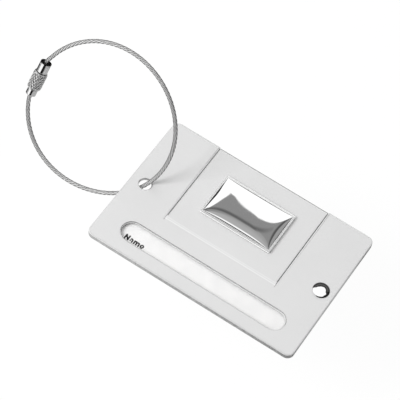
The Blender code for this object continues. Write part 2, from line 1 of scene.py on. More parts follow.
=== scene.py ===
"""A luggage tag lying flat, front face up (+Z), its long side along X and its back edge at +Y.

A satin cover sheet with a long slot carries a tongue with a chrome pillow badge. The card tray
lies under it on a rivet at the right. A loop of wire rope runs through the hole at the left
and closes in a knurled screw clasp. Lengths are millimetres until a piece is finished; the
materials, lights, floor and camera are in metres."""

import math

import bmesh
import bpy
from mathutils import Matrix, Vector


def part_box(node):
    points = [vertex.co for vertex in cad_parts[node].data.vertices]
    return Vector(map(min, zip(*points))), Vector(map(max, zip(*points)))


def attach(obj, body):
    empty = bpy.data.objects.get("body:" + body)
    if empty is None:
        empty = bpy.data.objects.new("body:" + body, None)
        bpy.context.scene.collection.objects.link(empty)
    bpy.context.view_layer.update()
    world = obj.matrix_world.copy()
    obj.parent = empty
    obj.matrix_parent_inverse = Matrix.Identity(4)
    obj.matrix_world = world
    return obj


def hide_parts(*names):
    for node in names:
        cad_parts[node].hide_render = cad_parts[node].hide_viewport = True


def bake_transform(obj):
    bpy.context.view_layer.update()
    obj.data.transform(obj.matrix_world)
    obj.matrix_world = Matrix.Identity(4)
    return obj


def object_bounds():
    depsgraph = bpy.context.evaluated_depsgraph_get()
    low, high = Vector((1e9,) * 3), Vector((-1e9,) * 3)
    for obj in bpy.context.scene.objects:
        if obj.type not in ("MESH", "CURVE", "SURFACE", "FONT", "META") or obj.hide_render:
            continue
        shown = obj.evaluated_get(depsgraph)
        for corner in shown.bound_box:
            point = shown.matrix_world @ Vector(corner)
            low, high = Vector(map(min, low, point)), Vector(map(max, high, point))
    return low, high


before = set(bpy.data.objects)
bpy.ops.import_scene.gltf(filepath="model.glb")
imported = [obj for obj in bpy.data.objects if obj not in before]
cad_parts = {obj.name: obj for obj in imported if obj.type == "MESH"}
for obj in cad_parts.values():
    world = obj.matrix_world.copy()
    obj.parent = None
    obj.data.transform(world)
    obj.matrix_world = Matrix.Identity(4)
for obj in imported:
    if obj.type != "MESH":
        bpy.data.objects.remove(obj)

CAD_LOW, CAD_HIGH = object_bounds()
MM = 0.001


# ------------------------------------------------------------------ measures of the frame
def box_mm(node):
    low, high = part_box(node)
    return low / MM, high / MM


COVER_HIGH = box_mm("front_cover")[1]
TONGUE_LOW, TONGUE_HIGH = box_mm("badge_tongue")
BASE_LOW, BASE_HIGH = box_mm("badge_base")
DOME_LOW, DOME_HIGH = box_mm("badge_dome")
RIVET_LOW, RIVET_HIGH = box_mm("pivot_rivet")
CARD_HIGH = box_mm("name_card")[1]

HALF_W, HALF_H, FRONT = COVER_HIGH
RIVET = ((RIVET_LOW + RIVET_HIGH) / 2).xy
BADGE = ((BASE_LOW + BASE_HIGH) / 2).xy
TONGUE_HALF = TONGUE_HIGH.x

# ------------------------------------------------------------------ sheet sizes
CORNER_R = 2.5
SHEET_LOW = 1.18  # the cover's underside, a hairline above the tray
TRAY_TOP = 1.15
PIVOT_HOLE_R = 1.6
SLIT = 0.10  # gap each side of the tongue
BEND_Y = -7.0
STRIP_FROM, STRIP_TO = -8.2, -5.9  # the bend strip at the tongue's root
HOLE_X, HOLE_Y = -34.4, -0.35  # the rope's hole


# ------------------------------------------------------------------ shader helpers
class Value:
    """A node's output; arithmetic on it adds math nodes to its shader."""

    def __init__(self, shader, socket):
        self.shader, self.socket = shader, socket

    def math(self, operation, other=0.0):
        return self.shader.add("ShaderNodeMath", {0: self, 1: other}, operation=operation)

    def __add__(self, other):
        return self.math("ADD", other)

    def __sub__(self, other):
        return self.math("SUBTRACT", other)

    def __mul__(self, other):
        return self.math("MULTIPLY", other)

    def clamped(self):
        """The same value, its last math node clamped to 0..1."""
        self.socket.node.use_clamp = True
        return self

    def ramp(self, over, to=(0.0, 1.0), smooth=True):
        """Maps the range over, which may run downwards, onto the range to."""
        return self.shader.add(
            "ShaderNodeMapRange",
            {"Value": self, "From Min": over[0], "From Max": over[1],
             "To Min": to[0], "To Max": to[1]},
            interpolation_type="SMOOTHSTEP" if smooth else "LINEAR",
        )

    def toward(self, tone, where):
        """This value, giving way to tone where the mask is 1."""
        return self.shader.mix(where, self, tone)


class Shader:
    """A node tree, built with short calls."""

    def __init__(self, name, tree=None):
        if tree is None:
            self.material = bpy.data.materials.new(name)
            self.material.use_nodes = True
            tree = self.material.node_tree
        self.tree = tree
        tree.nodes.clear()

    def add(self, kind, inputs=None, out=0, **settings):
        """Adds a node and returns its output, or a list of outputs for a tuple."""
        node = self.tree.nodes.new(kind)
        for key, value in settings.items():
            setattr(node, key, value)
        for key, value in (inputs or {}).items():
            if isinstance(value, Value):
                self.tree.links.new(value.socket, node.inputs[key])
            else:
                node.inputs[key].default_value = value
        if isinstance(out, tuple):
            return [Value(self, node.outputs[key]) for key in out]
        return Value(self, node.outputs[out])

    def mix(self, factor, first, second):
        inputs = {0: factor, 2: first, 3: second}
        return self.add("ShaderNodeMix", inputs, data_type="FLOAT")

    def blend(self, factor, first, second):
        inputs = {0: factor, 6: first, 7: second}
        return self.add("ShaderNodeMix", inputs, out=2, data_type="RGBA")

    def noise(self, at, scale=1.0, detail=2.0, rough=0.5, distortion=0.0):
        return self.add(
            "ShaderNodeTexNoise",
            {"Vector": at, "Scale": scale, "Detail": detail, "Roughness": rough,
             "Distortion": distortion},
        )

    def place(self, scale=(1, 1, 1), turn=0.0):
        """Object coordinates, stretched and turned about Z."""
        coords = self.add("ShaderNodeTexCoord", out=3)
        inputs = {"Vector": coords, "Scale": scale, "Rotation": (0, 0, turn)}
        return self.add("ShaderNodeMapping", inputs)

    def axes(self, vector, count):
        return [self.add("ShaderNodeSeparateXYZ", {0: vector}, out=k) for k in range(count)]

    def attribute(self, name, out="Fac"):
        return self.add("ShaderNodeAttribute", out=out, attribute_name=name)

    def bump(self, height, strength, distance):
        inputs = {"Height": height, "Strength": strength, "Distance": distance}
        return self.add("ShaderNodeBump", inputs)

    def output(self, shader, kind="ShaderNodeOutputMaterial"):
        node = self.tree.nodes.new(kind)
        self.tree.links.new(shader.socket, node.inputs["Surface"])

    def surface(self, shader):
        self.output(shader)
        return self.material

    def principled(self, colour, roughness, normal, extra):
        inputs = {"Base Color": colour, "Roughness": roughness, "Normal": normal, **extra}
        return self.surface(self.add("ShaderNodeBsdfPrincipled", inputs))


def grey(value, warm=0.0):
    return (value * (1 + warm), value, value * (1 - warm), 1.0)


# ------------------------------------------------------------------ materials
def satin_metal(name, base, rough, metallic=0.25, grit=0.22, least_wear=0.72):
    """Bead-blasted sheet under a thin matt lacquer: pearly grain, faint handling marks and
    brighter edges. The edge mark is 1 where rubbed and -1 where painted pale, as painted light."""
    mat = Shader(name)
    at = mat.place()
    grain = mat.noise(at, scale=7000.0, detail=3.0, rough=0.6)
    pearl = mat.noise(at, scale=1500.0, detail=4.0, rough=0.6)
    cloud = mat.noise(at, scale=45.0, detail=4.0, rough=0.55)
    drawn = mat.noise(mat.place(scale=(220.0, 3600.0, 900.0), turn=0.04), detail=3.0, rough=0.65)
    hair = mat.noise(mat.place(scale=(60.0, 5200.0, 400.0), turn=0.7), detail=1.0)
    marks = hair.ramp(over=(0.69, 0.75))
    patches = mat.noise(at, scale=700.0, detail=3.0, rough=0.6)
    worn = patches.ramp(over=(0.25, 0.6), to=(least_wear, 1.0))
    mark = mat.attribute("edge")
    edge = (mark * worn).clamped()
    # Negative edge marks paint the surface near white and unmetallic: painted light.
    painted_light = (mark * -1.0).clamped()
    colour = mat.blend(cloud.ramp(over=(0.3, 0.7)), grey(base * 0.985), grey(base * 1.01))
    colour = mat.blend(grain.ramp(over=(0.35, 0.75)) * 0.22, colour, grey(base * 0.90))
    colour = mat.blend(edge * 0.75, colour, grey(min(1.0, base * 1.08)))
    colour = mat.blend(painted_light, colour, grey(0.96))
    roughness = cloud.ramp(over=(0.3, 0.7), to=(rough - 0.03, rough + 0.03))
    roughness = roughness + pearl.ramp(over=(0.3, 0.7), to=(-0.03, 0.03))
    roughness = (roughness - marks * 0.05 - edge * 0.2).clamped()
    height = grain * 0.6 + pearl * 0.25 + drawn * 0.22 - marks * 0.12
    shine = mat.mix(edge, mat.mix(painted_light, metallic, 0.0), 1.0)
    normal = mat.bump(height, strength=grit, distance=0.00002)
    return mat.principled(colour, roughness, normal, {"Metallic": shine})


def chrome(name, base, rough, wave):
    """Bright plating: a slightly uneven polish, wipe haze and fine hairlines. The edge mark
    is 1 where rubbed and -1 where painted dark, a painted reflection of dark surroundings."""
    mat = Shader(name)
    at = mat.place()
    haze = mat.noise(at, scale=160.0, detail=4.0, rough=0.6)
    orange_peel = mat.noise(at, scale=420.0)
    hair = mat.noise(mat.place(scale=(90.0, 7000.0, 900.0), turn=0.5), detail=1.0)
    marks = hair.ramp(over=(0.68, 0.74))
    mark = mat.attribute("edge")
    edge = mark.math("MAXIMUM", 0.0)
    colour = mat.blend(haze.ramp(over=(0.35, 0.7)), grey(base), grey(base * 0.965))
    colour = mat.blend(edge * 0.4, colour, grey(min(1.0, base * 1.06)))
    # Painted dark reflection where the edge mark is negative.
    painted_dark = mark.ramp(over=(-0.25, -0.95)) * haze.ramp(over=(0.2, 0.6), to=(0.95, 0.99))
    colour = mat.blend(painted_dark, colour, grey(0.022, warm=0.03))
    roughness = haze.ramp(over=(0.35, 0.75), to=(rough, rough + 0.05)) + marks * 0.05
    height = orange_peel * wave + marks * -0.04
    normal = mat.bump(height, strength=0.10, distance=0.00002)
    return mat.principled(colour, roughness, normal, {"Metallic": 1.0})


def wire_steel(name, base, rough):
    """Drawn wire, with painted shade between the wires and strands, a painted highlight on the
    crowns, and painted shade where the rope's side turns away from the viewer."""
    mat = Shader(name)
    at = mat.place()
    groove = mat.attribute("groove")
    grime = mat.noise(at, scale=700.0, detail=4.0, rough=0.65).ramp(over=(0.3, 0.75))
    fine = mat.noise(at, scale=9000.0, rough=0.6)
    crown = groove.ramp(over=(0.45, 0.0))
    colour = mat.blend(grime, grey(base * 0.92, warm=0.004), grey(base * 1.05))
    # Painted shade in the grooves between wires and strands.
    groove_shade = groove.ramp(over=(0.35, 1.0), to=(0.0, 0.5))
    colour = mat.blend(groove_shade, colour, grey(0.16, warm=0.03))
    # Painted highlight on the wire crowns.
    colour = mat.blend(crown * 0.35, colour, grey(min(1.0, base * 1.2)))
    radial = mat.attribute("radial", out="Vector")
    viewer = mat.add("ShaderNodeNewGeometry", out="Incoming")
    facing = mat.add(
        "ShaderNodeVectorMath", {0: radial, 1: viewer}, out=1, operation="DOT_PRODUCT"
    )
    shade = facing.ramp(over=(0.88, 0.42), to=(0.0, 0.88))
    colour = mat.blend(shade, colour, grey(0.08, warm=0.02))
    roughness = grime.ramp(over=(0.0, 1.0), to=(rough - 0.04, rough + 0.07)) + groove * 0.2
    normal = mat.bump(fine, strength=0.25, distance=0.000006)
    return mat.principled(colour, roughness, normal, {"Metallic": 0.8})


def knurled_nickel(name, base, rough):
    """Nickel over a cut knurl: painted highlights on the tips, greyer flanks, painted shade in the
    grooves.
    """
    mat = Shader(name)
    at = mat.place()
    groove = mat.attribute("groove")
    tone = mat.noise(at, scale=1800.0, detail=3.0, rough=0.6)
    fine = mat.noise(at, scale=8000.0, rough=0.6)
    colour = mat.blend(tone, grey(base * 0.93), grey(base * 1.04))
    # Painted shade in the grooves.
    groove_shade = groove.ramp(over=(0.45, 1.0), to=(0.0, 0.72))
    colour = mat.blend(groove_shade, colour, grey(0.10, warm=0.04))
    # Painted highlight on the tips.
    tips = groove.ramp(over=(0.25, 0.0), to=(0.0, 0.5))
    colour = mat.blend(tips, colour, grey(0.92))
    roughness = tone.ramp(over=(0.3, 0.7), to=(rough - 0.05, rough + 0.05)) + groove * 0.16
    normal = mat.bump(fine, strength=0.2, distance=0.000006)
    return mat.principled(colour, roughness, normal, {"Metallic": 1.0})


def card_stock():
    """Uncoated white card: felted fibres and a soft tooth."""
    mat = Shader("card_stock")
    at = mat.place()
    felt = {"detail": 4.0, "rough": 0.65, "distortion": 0.6}
    fibre = mat.noise(mat.place(scale=(2600.0, 700.0, 1500.0), turn=0.5), **felt)
    cross = mat.noise(mat.place(scale=(600.0, 2400.0, 1500.0), turn=-0.3), **felt)
    tooth = mat.noise(at, scale=5200.0, detail=4.0, rough=0.7)
    cloud = mat.noise(at, scale=220.0, detail=3.0)
    pulp = (fibre + cross) * 0.5
    clouded = cloud.ramp(over=(0.3, 0.7))
    colour = mat.blend(clouded, grey(0.90, warm=0.002), grey(0.94, warm=0.004))
    colour = mat.blend(pulp.ramp(over=(0.52, 0.66)) * 0.35, colour, grey(0.86, warm=0.012))
    roughness = pulp.ramp(over=(0.3, 0.7), to=(0.66, 0.84))
    normal = mat.bump(pulp * 0.7 + tooth * 0.4, strength=0.4, distance=0.00002)
    extra = {"Specular IOR Level": 0.25, "Sheen Weight": 0.1}
    return mat.principled(colour, roughness, normal, extra)


def clear_film():
    """A thin clear window with a weak broken gloss and slip marks."""
    mat = Shader("clear_film")
    ripple = mat.noise(mat.place(), scale=130.0, detail=3.0)
    slip = mat.noise(mat.place(scale=(70.0, 4200.0, 600.0), turn=0.3)).ramp(over=(0.64, 0.74))
    normal = mat.bump(ripple + slip * -0.05, strength=0.12, distance=0.00004)
    haze = ripple.ramp(over=(0.3, 0.7), to=(0.08, 0.16))
    gloss = mat.add(
        "ShaderNodeBsdfGlossy", {"Color": grey(1.0), "Roughness": haze, "Normal": normal}
    )
    clear = mat.add("ShaderNodeBsdfTransparent", {"Color": grey(0.985)})
    fresnel = mat.add("ShaderNodeFresnel", {"IOR": 1.35, "Normal": normal})
    share = (fresnel * 0.55).clamped()
    share = (share + slip * 0.02).clamped()
    return mat.surface(mat.add("ShaderNodeMixShader", {0: share, 1: clear, 2: gloss}))


def moulded_nylon():
    mat = Shader("washer_nylon")
    at = mat.place()
    cloud = mat.noise(at, scale=600.0, detail=3.0, rough=0.6)
    tooth = mat.noise(at, scale=6000.0, detail=3.0, rough=0.6)
    colour = mat.blend(cloud, grey(0.80, warm=0.02), grey(0.88, warm=0.012))
    roughness = tooth.ramp(over=(0.3, 0.7), to=(0.38, 0.56))
    normal = mat.bump(tooth, strength=0.3, distance=0.00001)
    extra = {"Subsurface Weight": 0.15, "Subsurface Radius": (0.0008, 0.0007, 0.0006)}
    return mat.principled(colour, roughness, normal, extra)


def foam_tape():
    mat = Shader("foam_tape")
    at = mat.place()
    cells = mat.add("ShaderNodeTexVoronoi", {"Vector": at, "Scale": 5200.0})
    tone = mat.noise(at, scale=900.0, detail=3.0, rough=0.6)
    colour = mat.blend(tone, grey(0.70, warm=0.03), grey(0.82, warm=0.02))
    normal = mat.bump(cells, strength=0.6, distance=0.00003)
    return mat.principled(colour, roughness=0.8, normal=normal, extra={})


def print_ink():
    """Black print, broken up a little by the card's tooth."""
    mat = Shader("print_ink")
    tooth = mat.noise(mat.place(), scale=6400.0, detail=4.0, rough=0.7)
    colour = mat.blend(tooth.ramp(over=(0.6, 0.85)), grey(0.004), grey(0.025, warm=0.02))
    roughness = tooth.ramp(over=(0.3, 0.7), to=(0.5, 0.75))
    normal = mat.bump(tooth, strength=0.4, distance=0.000008)
    return mat.principled(colour, roughness, normal, {"Specular IOR Level": 0.3})


COVER_MAT = satin_metal("cover_satin", base=0.686, rough=0.40)
TRAY_MAT = satin_metal("tray_satin", base=0.66, rough=0.44)
BEZEL_MAT = satin_metal(
    "bezel_satin", base=0.88, rough=0.22, metallic=0.6, grit=0.06, least_wear=0.94
)
BADGE_MAT = chrome("badge_chrome", base=0.88, rough=0.035, wave=1.0)
RIVET_MAT = chrome("rivet_chrome", base=0.86, rough=0.05, wave=0.4)
FERRULE_MAT = chrome("ferrule_nickel", base=0.80, rough=0.07, wave=0.5)
COLLAR_MAT = chrome("collar_steel", base=0.62, rough=0.22, wave=0.8)
ROPE_MAT = wire_steel("wire_rope_steel", base=0.90, rough=0.34)
KNURL_MAT = knurled_nickel("sleeve_nickel", base=0.84, rough=0.24)
CARD_MAT = card_stock()
FILM_MAT = clear_film()
NYLON_MAT = moulded_nylon()
TAPE_MAT = foam_tape()
INK_MAT = print_ink()


# ------------------------------------------------------------------ outlines
def oval(x, y, radius_x, radius_y, start, end, steps=20):
    """Points on an ellipse about (x, y), between two angles in degrees."""
    angles = [math.radians(start + (end - start) * i / steps) for i in range(steps + 1)]
    return [(x + radius_x * math.cos(a), y + radius_y * math.sin(a)) for a in angles]


def arc(x, y, radius, start, end, steps):
    return oval(x, y, radius, radius, start, end, steps)


def circle(x, y, radius, steps=48):
    return arc(x, y, radius, 0, 360, steps)[:-1]


def stadium(x, y, length, width, steps=40):
    half, radius = (length - width) / 2, width / 2
    right = arc(x + half, y, radius, -90, 90, steps)
    return right + arc(x - half, y, radius, 90, 270, steps)


def rounded(corners, steps=14):
    """The polygon of (x, y, radius) corners, each rounded off by its radius."""
    out = []
    count = len(corners)
    for i, (x, y, radius) in enumerate(corners):
        if radius <= 0:
            out.append((x, y))
            continue
        here = Vector((x, y))
        back = (Vector(corners[i - 1][:2]) - here).normalized()
        ahead = (Vector(corners[(i + 1) % count][:2]) - here).normalized()
        half = back.angle(ahead) / 2
        run = radius / math.tan(half)
        centre = here + (back + ahead).normalized() * (radius / math.sin(half))
        first, last = here + back * run - centre, here + ahead * run - centre
        start = math.atan2(first.y, first.x)
        cross = first.x * last.y - first.y * last.x
        turn = math.atan2(cross, first.x * last.x + first.y * last.y)
        for k in range(steps + 1):
            angle = start + turn * k / steps
            out.append((centre.x + radius * math.cos(angle), centre.y + radius * math.sin(angle)))
    return out


def offset(loop, distance):
    """The counter-clockwise loop, moved outwards by a distance."""
    out = []
    for i, point in enumerate(loop):
        here = Vector(point)
        into = (here - Vector(loop[i - 1])).normalized()
        onward = (Vector(loop[(i + 1) % len(loop)]) - here).normalized()
        normal0, normal1 = Vector((into.y, -into.x)), Vector((onward.y, -onward.x))
        shift = (normal0 + normal1) * (distance / (1 + normal0.dot(normal1)))
        out.append(tuple(here + shift))
    return out


# ------------------------------------------------------------------ solids
class Solid:
    """A mesh being built in millimetres, with an optional number marked on each vertex."""

    def __init__(self, mark=None):
        self.mesh = bmesh.new()
        self.layer = None if mark is None else self.mesh.verts.layers.float.new(mark)

    def vert(self, x, y, z, mark=0.0):
        made = self.mesh.verts.new((x, y, z))
        if self.layer is not None:
            made[self.layer] = mark
        return made

    def ring(self, points):
        return [self.vert(*point) for point in points]

    def face(self, *verts):
        self.mesh.faces.new(verts)

    def bridge(self, rings):
        """Joins each ring to the next; a ring of one vertex is a point."""
        for low, high in zip(rings, rings[1:]):
            count = max(len(low), len(high))
            for k in range(count):
                j = (k + 1) % count
                if len(low) == 1:
                    self.face(low[0], high[k], high[j])
                elif len(high) == 1:
                    self.face(low[k], low[j], high[0])
                else:
                    self.face(low[k], low[j], high[j], high[k])

    def fill(self, rings):
        """One flat face, cut into triangles, bounded by all the rings."""
        edges = []
        for ring in rings:
            for i, vert in enumerate(ring):
                edges.append(self.mesh.edges.get((vert, ring[(i + 1) % len(ring)])))
        bmesh.ops.triangle_fill(self.mesh, edges=edges, use_beauty=True, use_dissolve=False)

    def finish(self, name, material, sharp, weighted=False):
        """The smooth-shaded object in metres, edges beyond sharp degrees kept sharp."""
        bmesh.ops.recalc_face_normals(self.mesh, faces=self.mesh.faces)
        bmesh.ops.scale(self.mesh, vec=(MM, MM, MM), verts=self.mesh.verts)
        mesh = bpy.data.meshes.new(name)
        self.mesh.to_mesh(mesh)
        self.mesh.free()
        mesh.shade_smooth()
        mesh.set_sharp_from_angle(angle=math.radians(sharp))
        mesh.materials.append(material)
        obj = bpy.data.objects.new(name, mesh)
        bpy.context.scene.collection.objects.link(obj)
        if weighted:
            even = obj.modifiers.new("even_normals", "WEIGHTED_NORMAL")
            even.mode, even.weight, even.keep_sharp = "FACE_AREA", 100, True
        return obj


SUPPORT = 0.3  # width of the flat ring beside each rounded edge


def round_over(loop, face_z, radius, side, facing, wear=1.0, steps=4):
    """Levels (z, loop, edge) from a wall to the face at face_z. side is +1 for an upper face
    and -1 for a lower one; facing is +1 for an outer wall and -1 for a hole's."""
    levels = []
    for k in range(steps + 1):
        angle = math.pi / 2 * k / steps
        inset = offset(loop, -facing * radius * (1 - math.cos(angle)))
        z = face_z - side * radius * (1 - math.sin(angle))
        levels.append((z, inset, wear if k else max(wear, 0.75) * 0.8))
    levels.append((face_z, offset(loop, -facing * (radius + SUPPORT)), 0.0))
    return levels


def walls(loop, low, high, low_radius, high_radius, facing=1, wear=1.0, middle=0.85):
    """Levels of a wall rounded at both ends; wear and middle mark its top edge and middle.
    A negative middle paints the wall near white, as painted light.
    """
    bottom = round_over(loop, low, low_radius, -1, facing)[::-1]
    top = round_over(loop, high, high_radius, 1, facing, wear)
    return bottom + [((low + high) / 2, loop, middle)] + top


def slab(name, material, outer, holes=(), pockets=(), place=None, sharp=38.0):
    """A plate from (z, loop, edge) levels; pockets run from the top down to their floors."""
    solid = Solid("edge")

    def wall(levels):
        rings = [solid.ring([(x, y, z, edge) for x, y in loop]) for z, loop, edge in levels]
        solid.bridge(rings)
        return rings[0], rings[-1]

    ends = [wall(levels) for levels in (outer, *holes)]
    wells = [wall(levels) for levels in pockets]
    solid.fill([low for low, _ in ends])
    solid.fill([high for _, high in ends] + [top for top, _ in wells])
    for _, floor in wells:
        solid.fill([floor])
    if place is not None:
        bmesh.ops.transform(solid.mesh, matrix=place, verts=solid.mesh.verts)
    return solid.finish(name, material, sharp, weighted=True)


def spun(radius, z, mark, steps):
    """Points (x, y, z, mark) round a circle about Z; a zero radius gives a single point."""
    if radius < 1e-6:
        return [(0, 0, z, mark)]
    angles = [math.tau * k / steps for k in range(steps)]
    return [(radius * math.cos(a), radius * math.sin(a), z, mark) for a in angles]


def turned(name, material, profile, steps=72, closed=False):
    """A profile of (radius, z, edge) spun about Z; a closed one makes a ring."""
    solid = Solid("edge")
    rings = [solid.ring(spun(*station, steps)) for station in profile]
    solid.bridge(rings + rings[:1] if closed else rings)
    return solid.finish(name, material, sharp=34.0)


def stand(obj, at, axis=(0, 0, 1)):
    """Turns the mesh's local Z along axis and moves it to a point in millimetres."""
    turn = Vector((0, 0, 1)).rotation_difference(Vector(axis)).to_matrix().to_4x4()
    obj.data.transform(Matrix.Translation(Vector(at) * MM) @ turn)
    return obj


def fillet(x, z, radius, start, end, steps=5, edge=1.0):
    return [(px, pz, edge) for px, pz in arc(x, z, radius, start, end, steps)]


def register(piece, node, body):
    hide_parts(node)
    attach(piece, body)


# ------------------------------------------------------------------ cover
CABLE_HOLE_R = 2.15
SLOT_X, SLOT_Y, SLOT_LENGTH, SLOT_WIDTH = 0.3, -18.5, 63.3, 7.6
COVER_SEAT_R, COVER_SEAT_DEPTH = 3.2, 0.37  # recess under the cover, round the rivet


def cover_wall(low, high):
    """The outer wall's levels, kept square at the tongue's root, where the sheet runs on
    into the bend strip, so that no seam shows there."""
    slit_x = TONGUE_HALF + SLIT
    outline = rounded(
        [
            (-HALF_W, -HALF_H, CORNER_R),
            (HALF_W, -HALF_H, CORNER_R),
            (HALF_W, HALF_H, CORNER_R),
            (slit_x, HALF_H, 0.5),
            (slit_x, STRIP_FROM, 0),
            (-slit_x, STRIP_FROM, 0),
            (-slit_x, HALF_H, 0.5),
            (-HALF_W, HALF_H, CORNER_R),
        ]
    )

    def squared(loop):
        return [
            (moved[0], y) if abs(y - STRIP_FROM) < 1e-6 else moved
            for moved, (_, y) in zip(loop, outline)
        ]

    levels = walls(outline, low, high, low_radius=0.06, high_radius=0.3, wear=0.3)
    return [(z, squared(loop), edge) for z, loop, edge in levels]


def cover_piece():
    low, high = SHEET_LOW, FRONT
    cable = circle(HOLE_X, HOLE_Y, CABLE_HOLE_R, 72)
    slot = stadium(SLOT_X, SLOT_Y, SLOT_LENGTH, SLOT_WIDTH)
    pivot = circle(*RIVET, PIVOT_HOLE_R)
    seat = circle(*RIVET, COVER_SEAT_R)
    seat_z = low + COVER_SEAT_DEPTH
    return slab(
        "cover_sheet",
        COVER_MAT,
        cover_wall(low, high),
        holes=[
            walls(cable, low, high, low_radius=0.12, high_radius=0.2, facing=-1, middle=0.0),
            # The slot's wall is painted near white at its middle: painted light where the card and
            # the soft box light it.
            walls(slot, low, high, low_radius=0.1, high_radius=0.2, facing=-1, middle=-1.0),
            [(low, seat, 0.0), (seat_z, seat, 0.0), (seat_z, pivot, 0.0), (high, pivot, 0.0)],
        ],
    )


def rub_far_edge(piece, start, share=1.0):
    """Marks the upper edge along the back as rubbed bright beyond y = start."""
    marks = piece.data.attributes["edge"].data
    for vert, mark in zip(piece.data.vertices, marks):
        if vert.co.y > start * MM and vert.co.z > (FRONT - 1.0) * MM:
            mark.value = max(mark.value, share)
    return piece


cover = rub_far_edge(cover_piece(), start=HALF_H - 0.33, share=0.85)
register(cover, "front_cover", "cover")


# ------------------------------------------------------------------ tongue and its bend
LIP_BEND_R = 1.0  # outside radius where the tongue turns down at the back
LIP_CHAMFER = 0.08
TONGUE_EDGE_R = 0.12


def tongue_profile():
    """The tongue's side view, (y, z), from its root to the lip at the back."""
    sheet = FRONT - SHEET_LOW
    lip = TONGUE_LOW.z
    centre = (HALF_H - LIP_BEND_R, FRONT - LIP_BEND_R)
    return [
        (STRIP_TO, SHEET_LOW),
        *arc(*centre, max(0.06, LIP_BEND_R - sheet), 90, 0, 5),
        (HALF_H - sheet, lip + LIP_CHAMFER),
        (HALF_H - sheet + LIP_CHAMFER, lip),
        (HALF_H - LIP_CHAMFER, lip),
        (HALF_H, lip + LIP_CHAMFER),
        *arc(*centre, LIP_BEND_R, 0, 90, 14),
        (STRIP_TO, FRONT),
    ]


def offset_but_root(profile, distance):
    """The profile moved out, with its root wall left where it meets the bend."""
    return [
        (here[0], moved[1]) if abs(here[0] - STRIP_TO) < 1e-6 else moved
        for here, moved in zip(profile, offset(profile, distance))
    ]


def tongue_piece():
    profile = tongue_profile()
    side, radius = TONGUE_HALF, TONGUE_EDGE_R
    levels = []
    for k in range(5):
        angle = math.pi / 2 * k / 4
        inset = offset_but_root(profile, -radius * (1 - math.cos(angle)))
        levels.append((side - radius + radius * math.sin(angle), inset, 1.0))
    mirrored = [(-x, loop, edge) for x, loop, edge in levels[::-1]]
    flat_x = side - radius - SUPPORT
    flat = [(-flat_x, profile, 0.0), (flat_x, profile, 0.0)]
    along_x = Matrix(((0, 0, 1, 0), (1, 0, 0, 0), (0, 1, 0, 0), (0, 0, 0, 1)))
    made = slab("tongue_sheet", COVER_MAT, mirrored + flat + levels, place=along_x, sharp=34.0)
    return rub_far_edge(made, start=HALF_H - 0.72)


register(tongue_piece(), "badge_tongue", "tongue")

BEND_RIPPLE = 0.030
LEFT_SLIT_EXTRA = 0.95  # the left slit ends this much nearer the back than the right one
PALE_LINES = ((BEND_Y - 0.35, 0.5), (BEND_Y + 0.45, 0.32))  # (y, share) of painted highlight lines across the bend
PALE_WIDTH = 0.22


def bend_rows():
    """The strip's y stations, closer together round both slit ends."""
    rows = []
    y = STRIP_FROM
    while y < STRIP_TO - 1e-6:
        rows.append(y)
        y += 0.1
    rows.append(STRIP_TO)
    for k in range(6):
        advance = SLIT / 2 * (1 - math.cos(math.pi / 2 * k / 5))
        rows += [BEND_Y + shift + advance for shift in (0.0, LEFT_SLIT_EXTRA)]
    return sorted(set(round(y, 5) for y in rows))


def strip_reach(y, slit_end):
    """The strip's half width at y, narrowing past the rounded end of a slit."""
    wide, radius = TONGUE_HALF + SLIT, SLIT / 2
    if y <= slit_end:
        return wide
    share = (y - slit_end) / radius
    if share >= 1:
        return TONGUE_HALF
    return wide - radius * (1 - math.sqrt(1 - share * share))


def bend_piece():
    """The strip between cover and tongue: a shallow line pressed across it, its ends flush
    with both."""
    solid = Solid("edge")
    top, bottom = [], []
    for y in bend_rows():
        left, right = strip_reach(y, BEND_Y + LEFT_SLIT_EXTRA), strip_reach(y, BEND_Y)
        turn = math.pi * ((y - STRIP_FROM) / (STRIP_TO - STRIP_FROM))
        lift = BEND_RIPPLE * math.sin(turn) ** 2 * math.sin(2 * turn)
        columns = [-left, -left + 0.3, -left / 2, 0.0, right / 2, right - 0.3, right]
        top.append(solid.ring([(x, y, FRONT + lift) for x in columns]))
        bottom.append(solid.ring([(x, y, SHEET_LOW + lift) for x in columns]))
    last = len(top[0]) - 1
    for j in range(len(top) - 1):
        for i in range(last):
            solid.face(top[j][i], top[j][i + 1], top[j + 1][i + 1], top[j + 1][i])
            solid.face(bottom[j][i], bottom[j + 1][i], bottom[j + 1][i + 1], bottom[j][i + 1])
        for i in (0, last):
            solid.face(top[j][i], top[j + 1][i], bottom[j + 1][i], bottom[j][i])
    for j in (0, -1):
        for i in range(last):
            solid.face(top[j][i], top[j][i + 1], bottom[j][i + 1], bottom[j][i])
    # Two pale lines across the strip: painted highlights where the sheet bends.
    for vert in solid.mesh.verts:
        vert[solid.layer] = -max(
            share * max(0.0, 1 - abs(vert.co.y - y) / PALE_WIDTH) for y, share in PALE_LINES
        )
    return solid.finish("tongue_bend", COVER_MAT, sharp=34.0)


bend = bend_piece()
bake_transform(bend)


# ------------------------------------------------------------------ tray, card and film
TRAY_ARC_R = 66.0  # the tray's left end, about the rivet
LIP_CLEAR_R = 29.4  # the step clear of the tongue's lip, about the rivet
UNDER_LIP = HALF_H - 0.9 - 0.3
NOTCH_Y = -4.9
TRAY_RIM = 1.6
WELL_FLOOR, WELL_CORNER_R, WELL_STEP_Y = 0.4, 1.2, -7.6


def rivet_arc(radius, start_y, end_y, steps):
    """Sharp corners along an arc about the rivet, left of it, between two heights in y."""
    start, end = (
        180 - math.degrees(math.asin((y - RIVET[1]) / radius)) for y in (start_y, end_y)
    )
    return [(x, y, 0) for x, y in arc(*RIVET, radius, start, end, steps)]


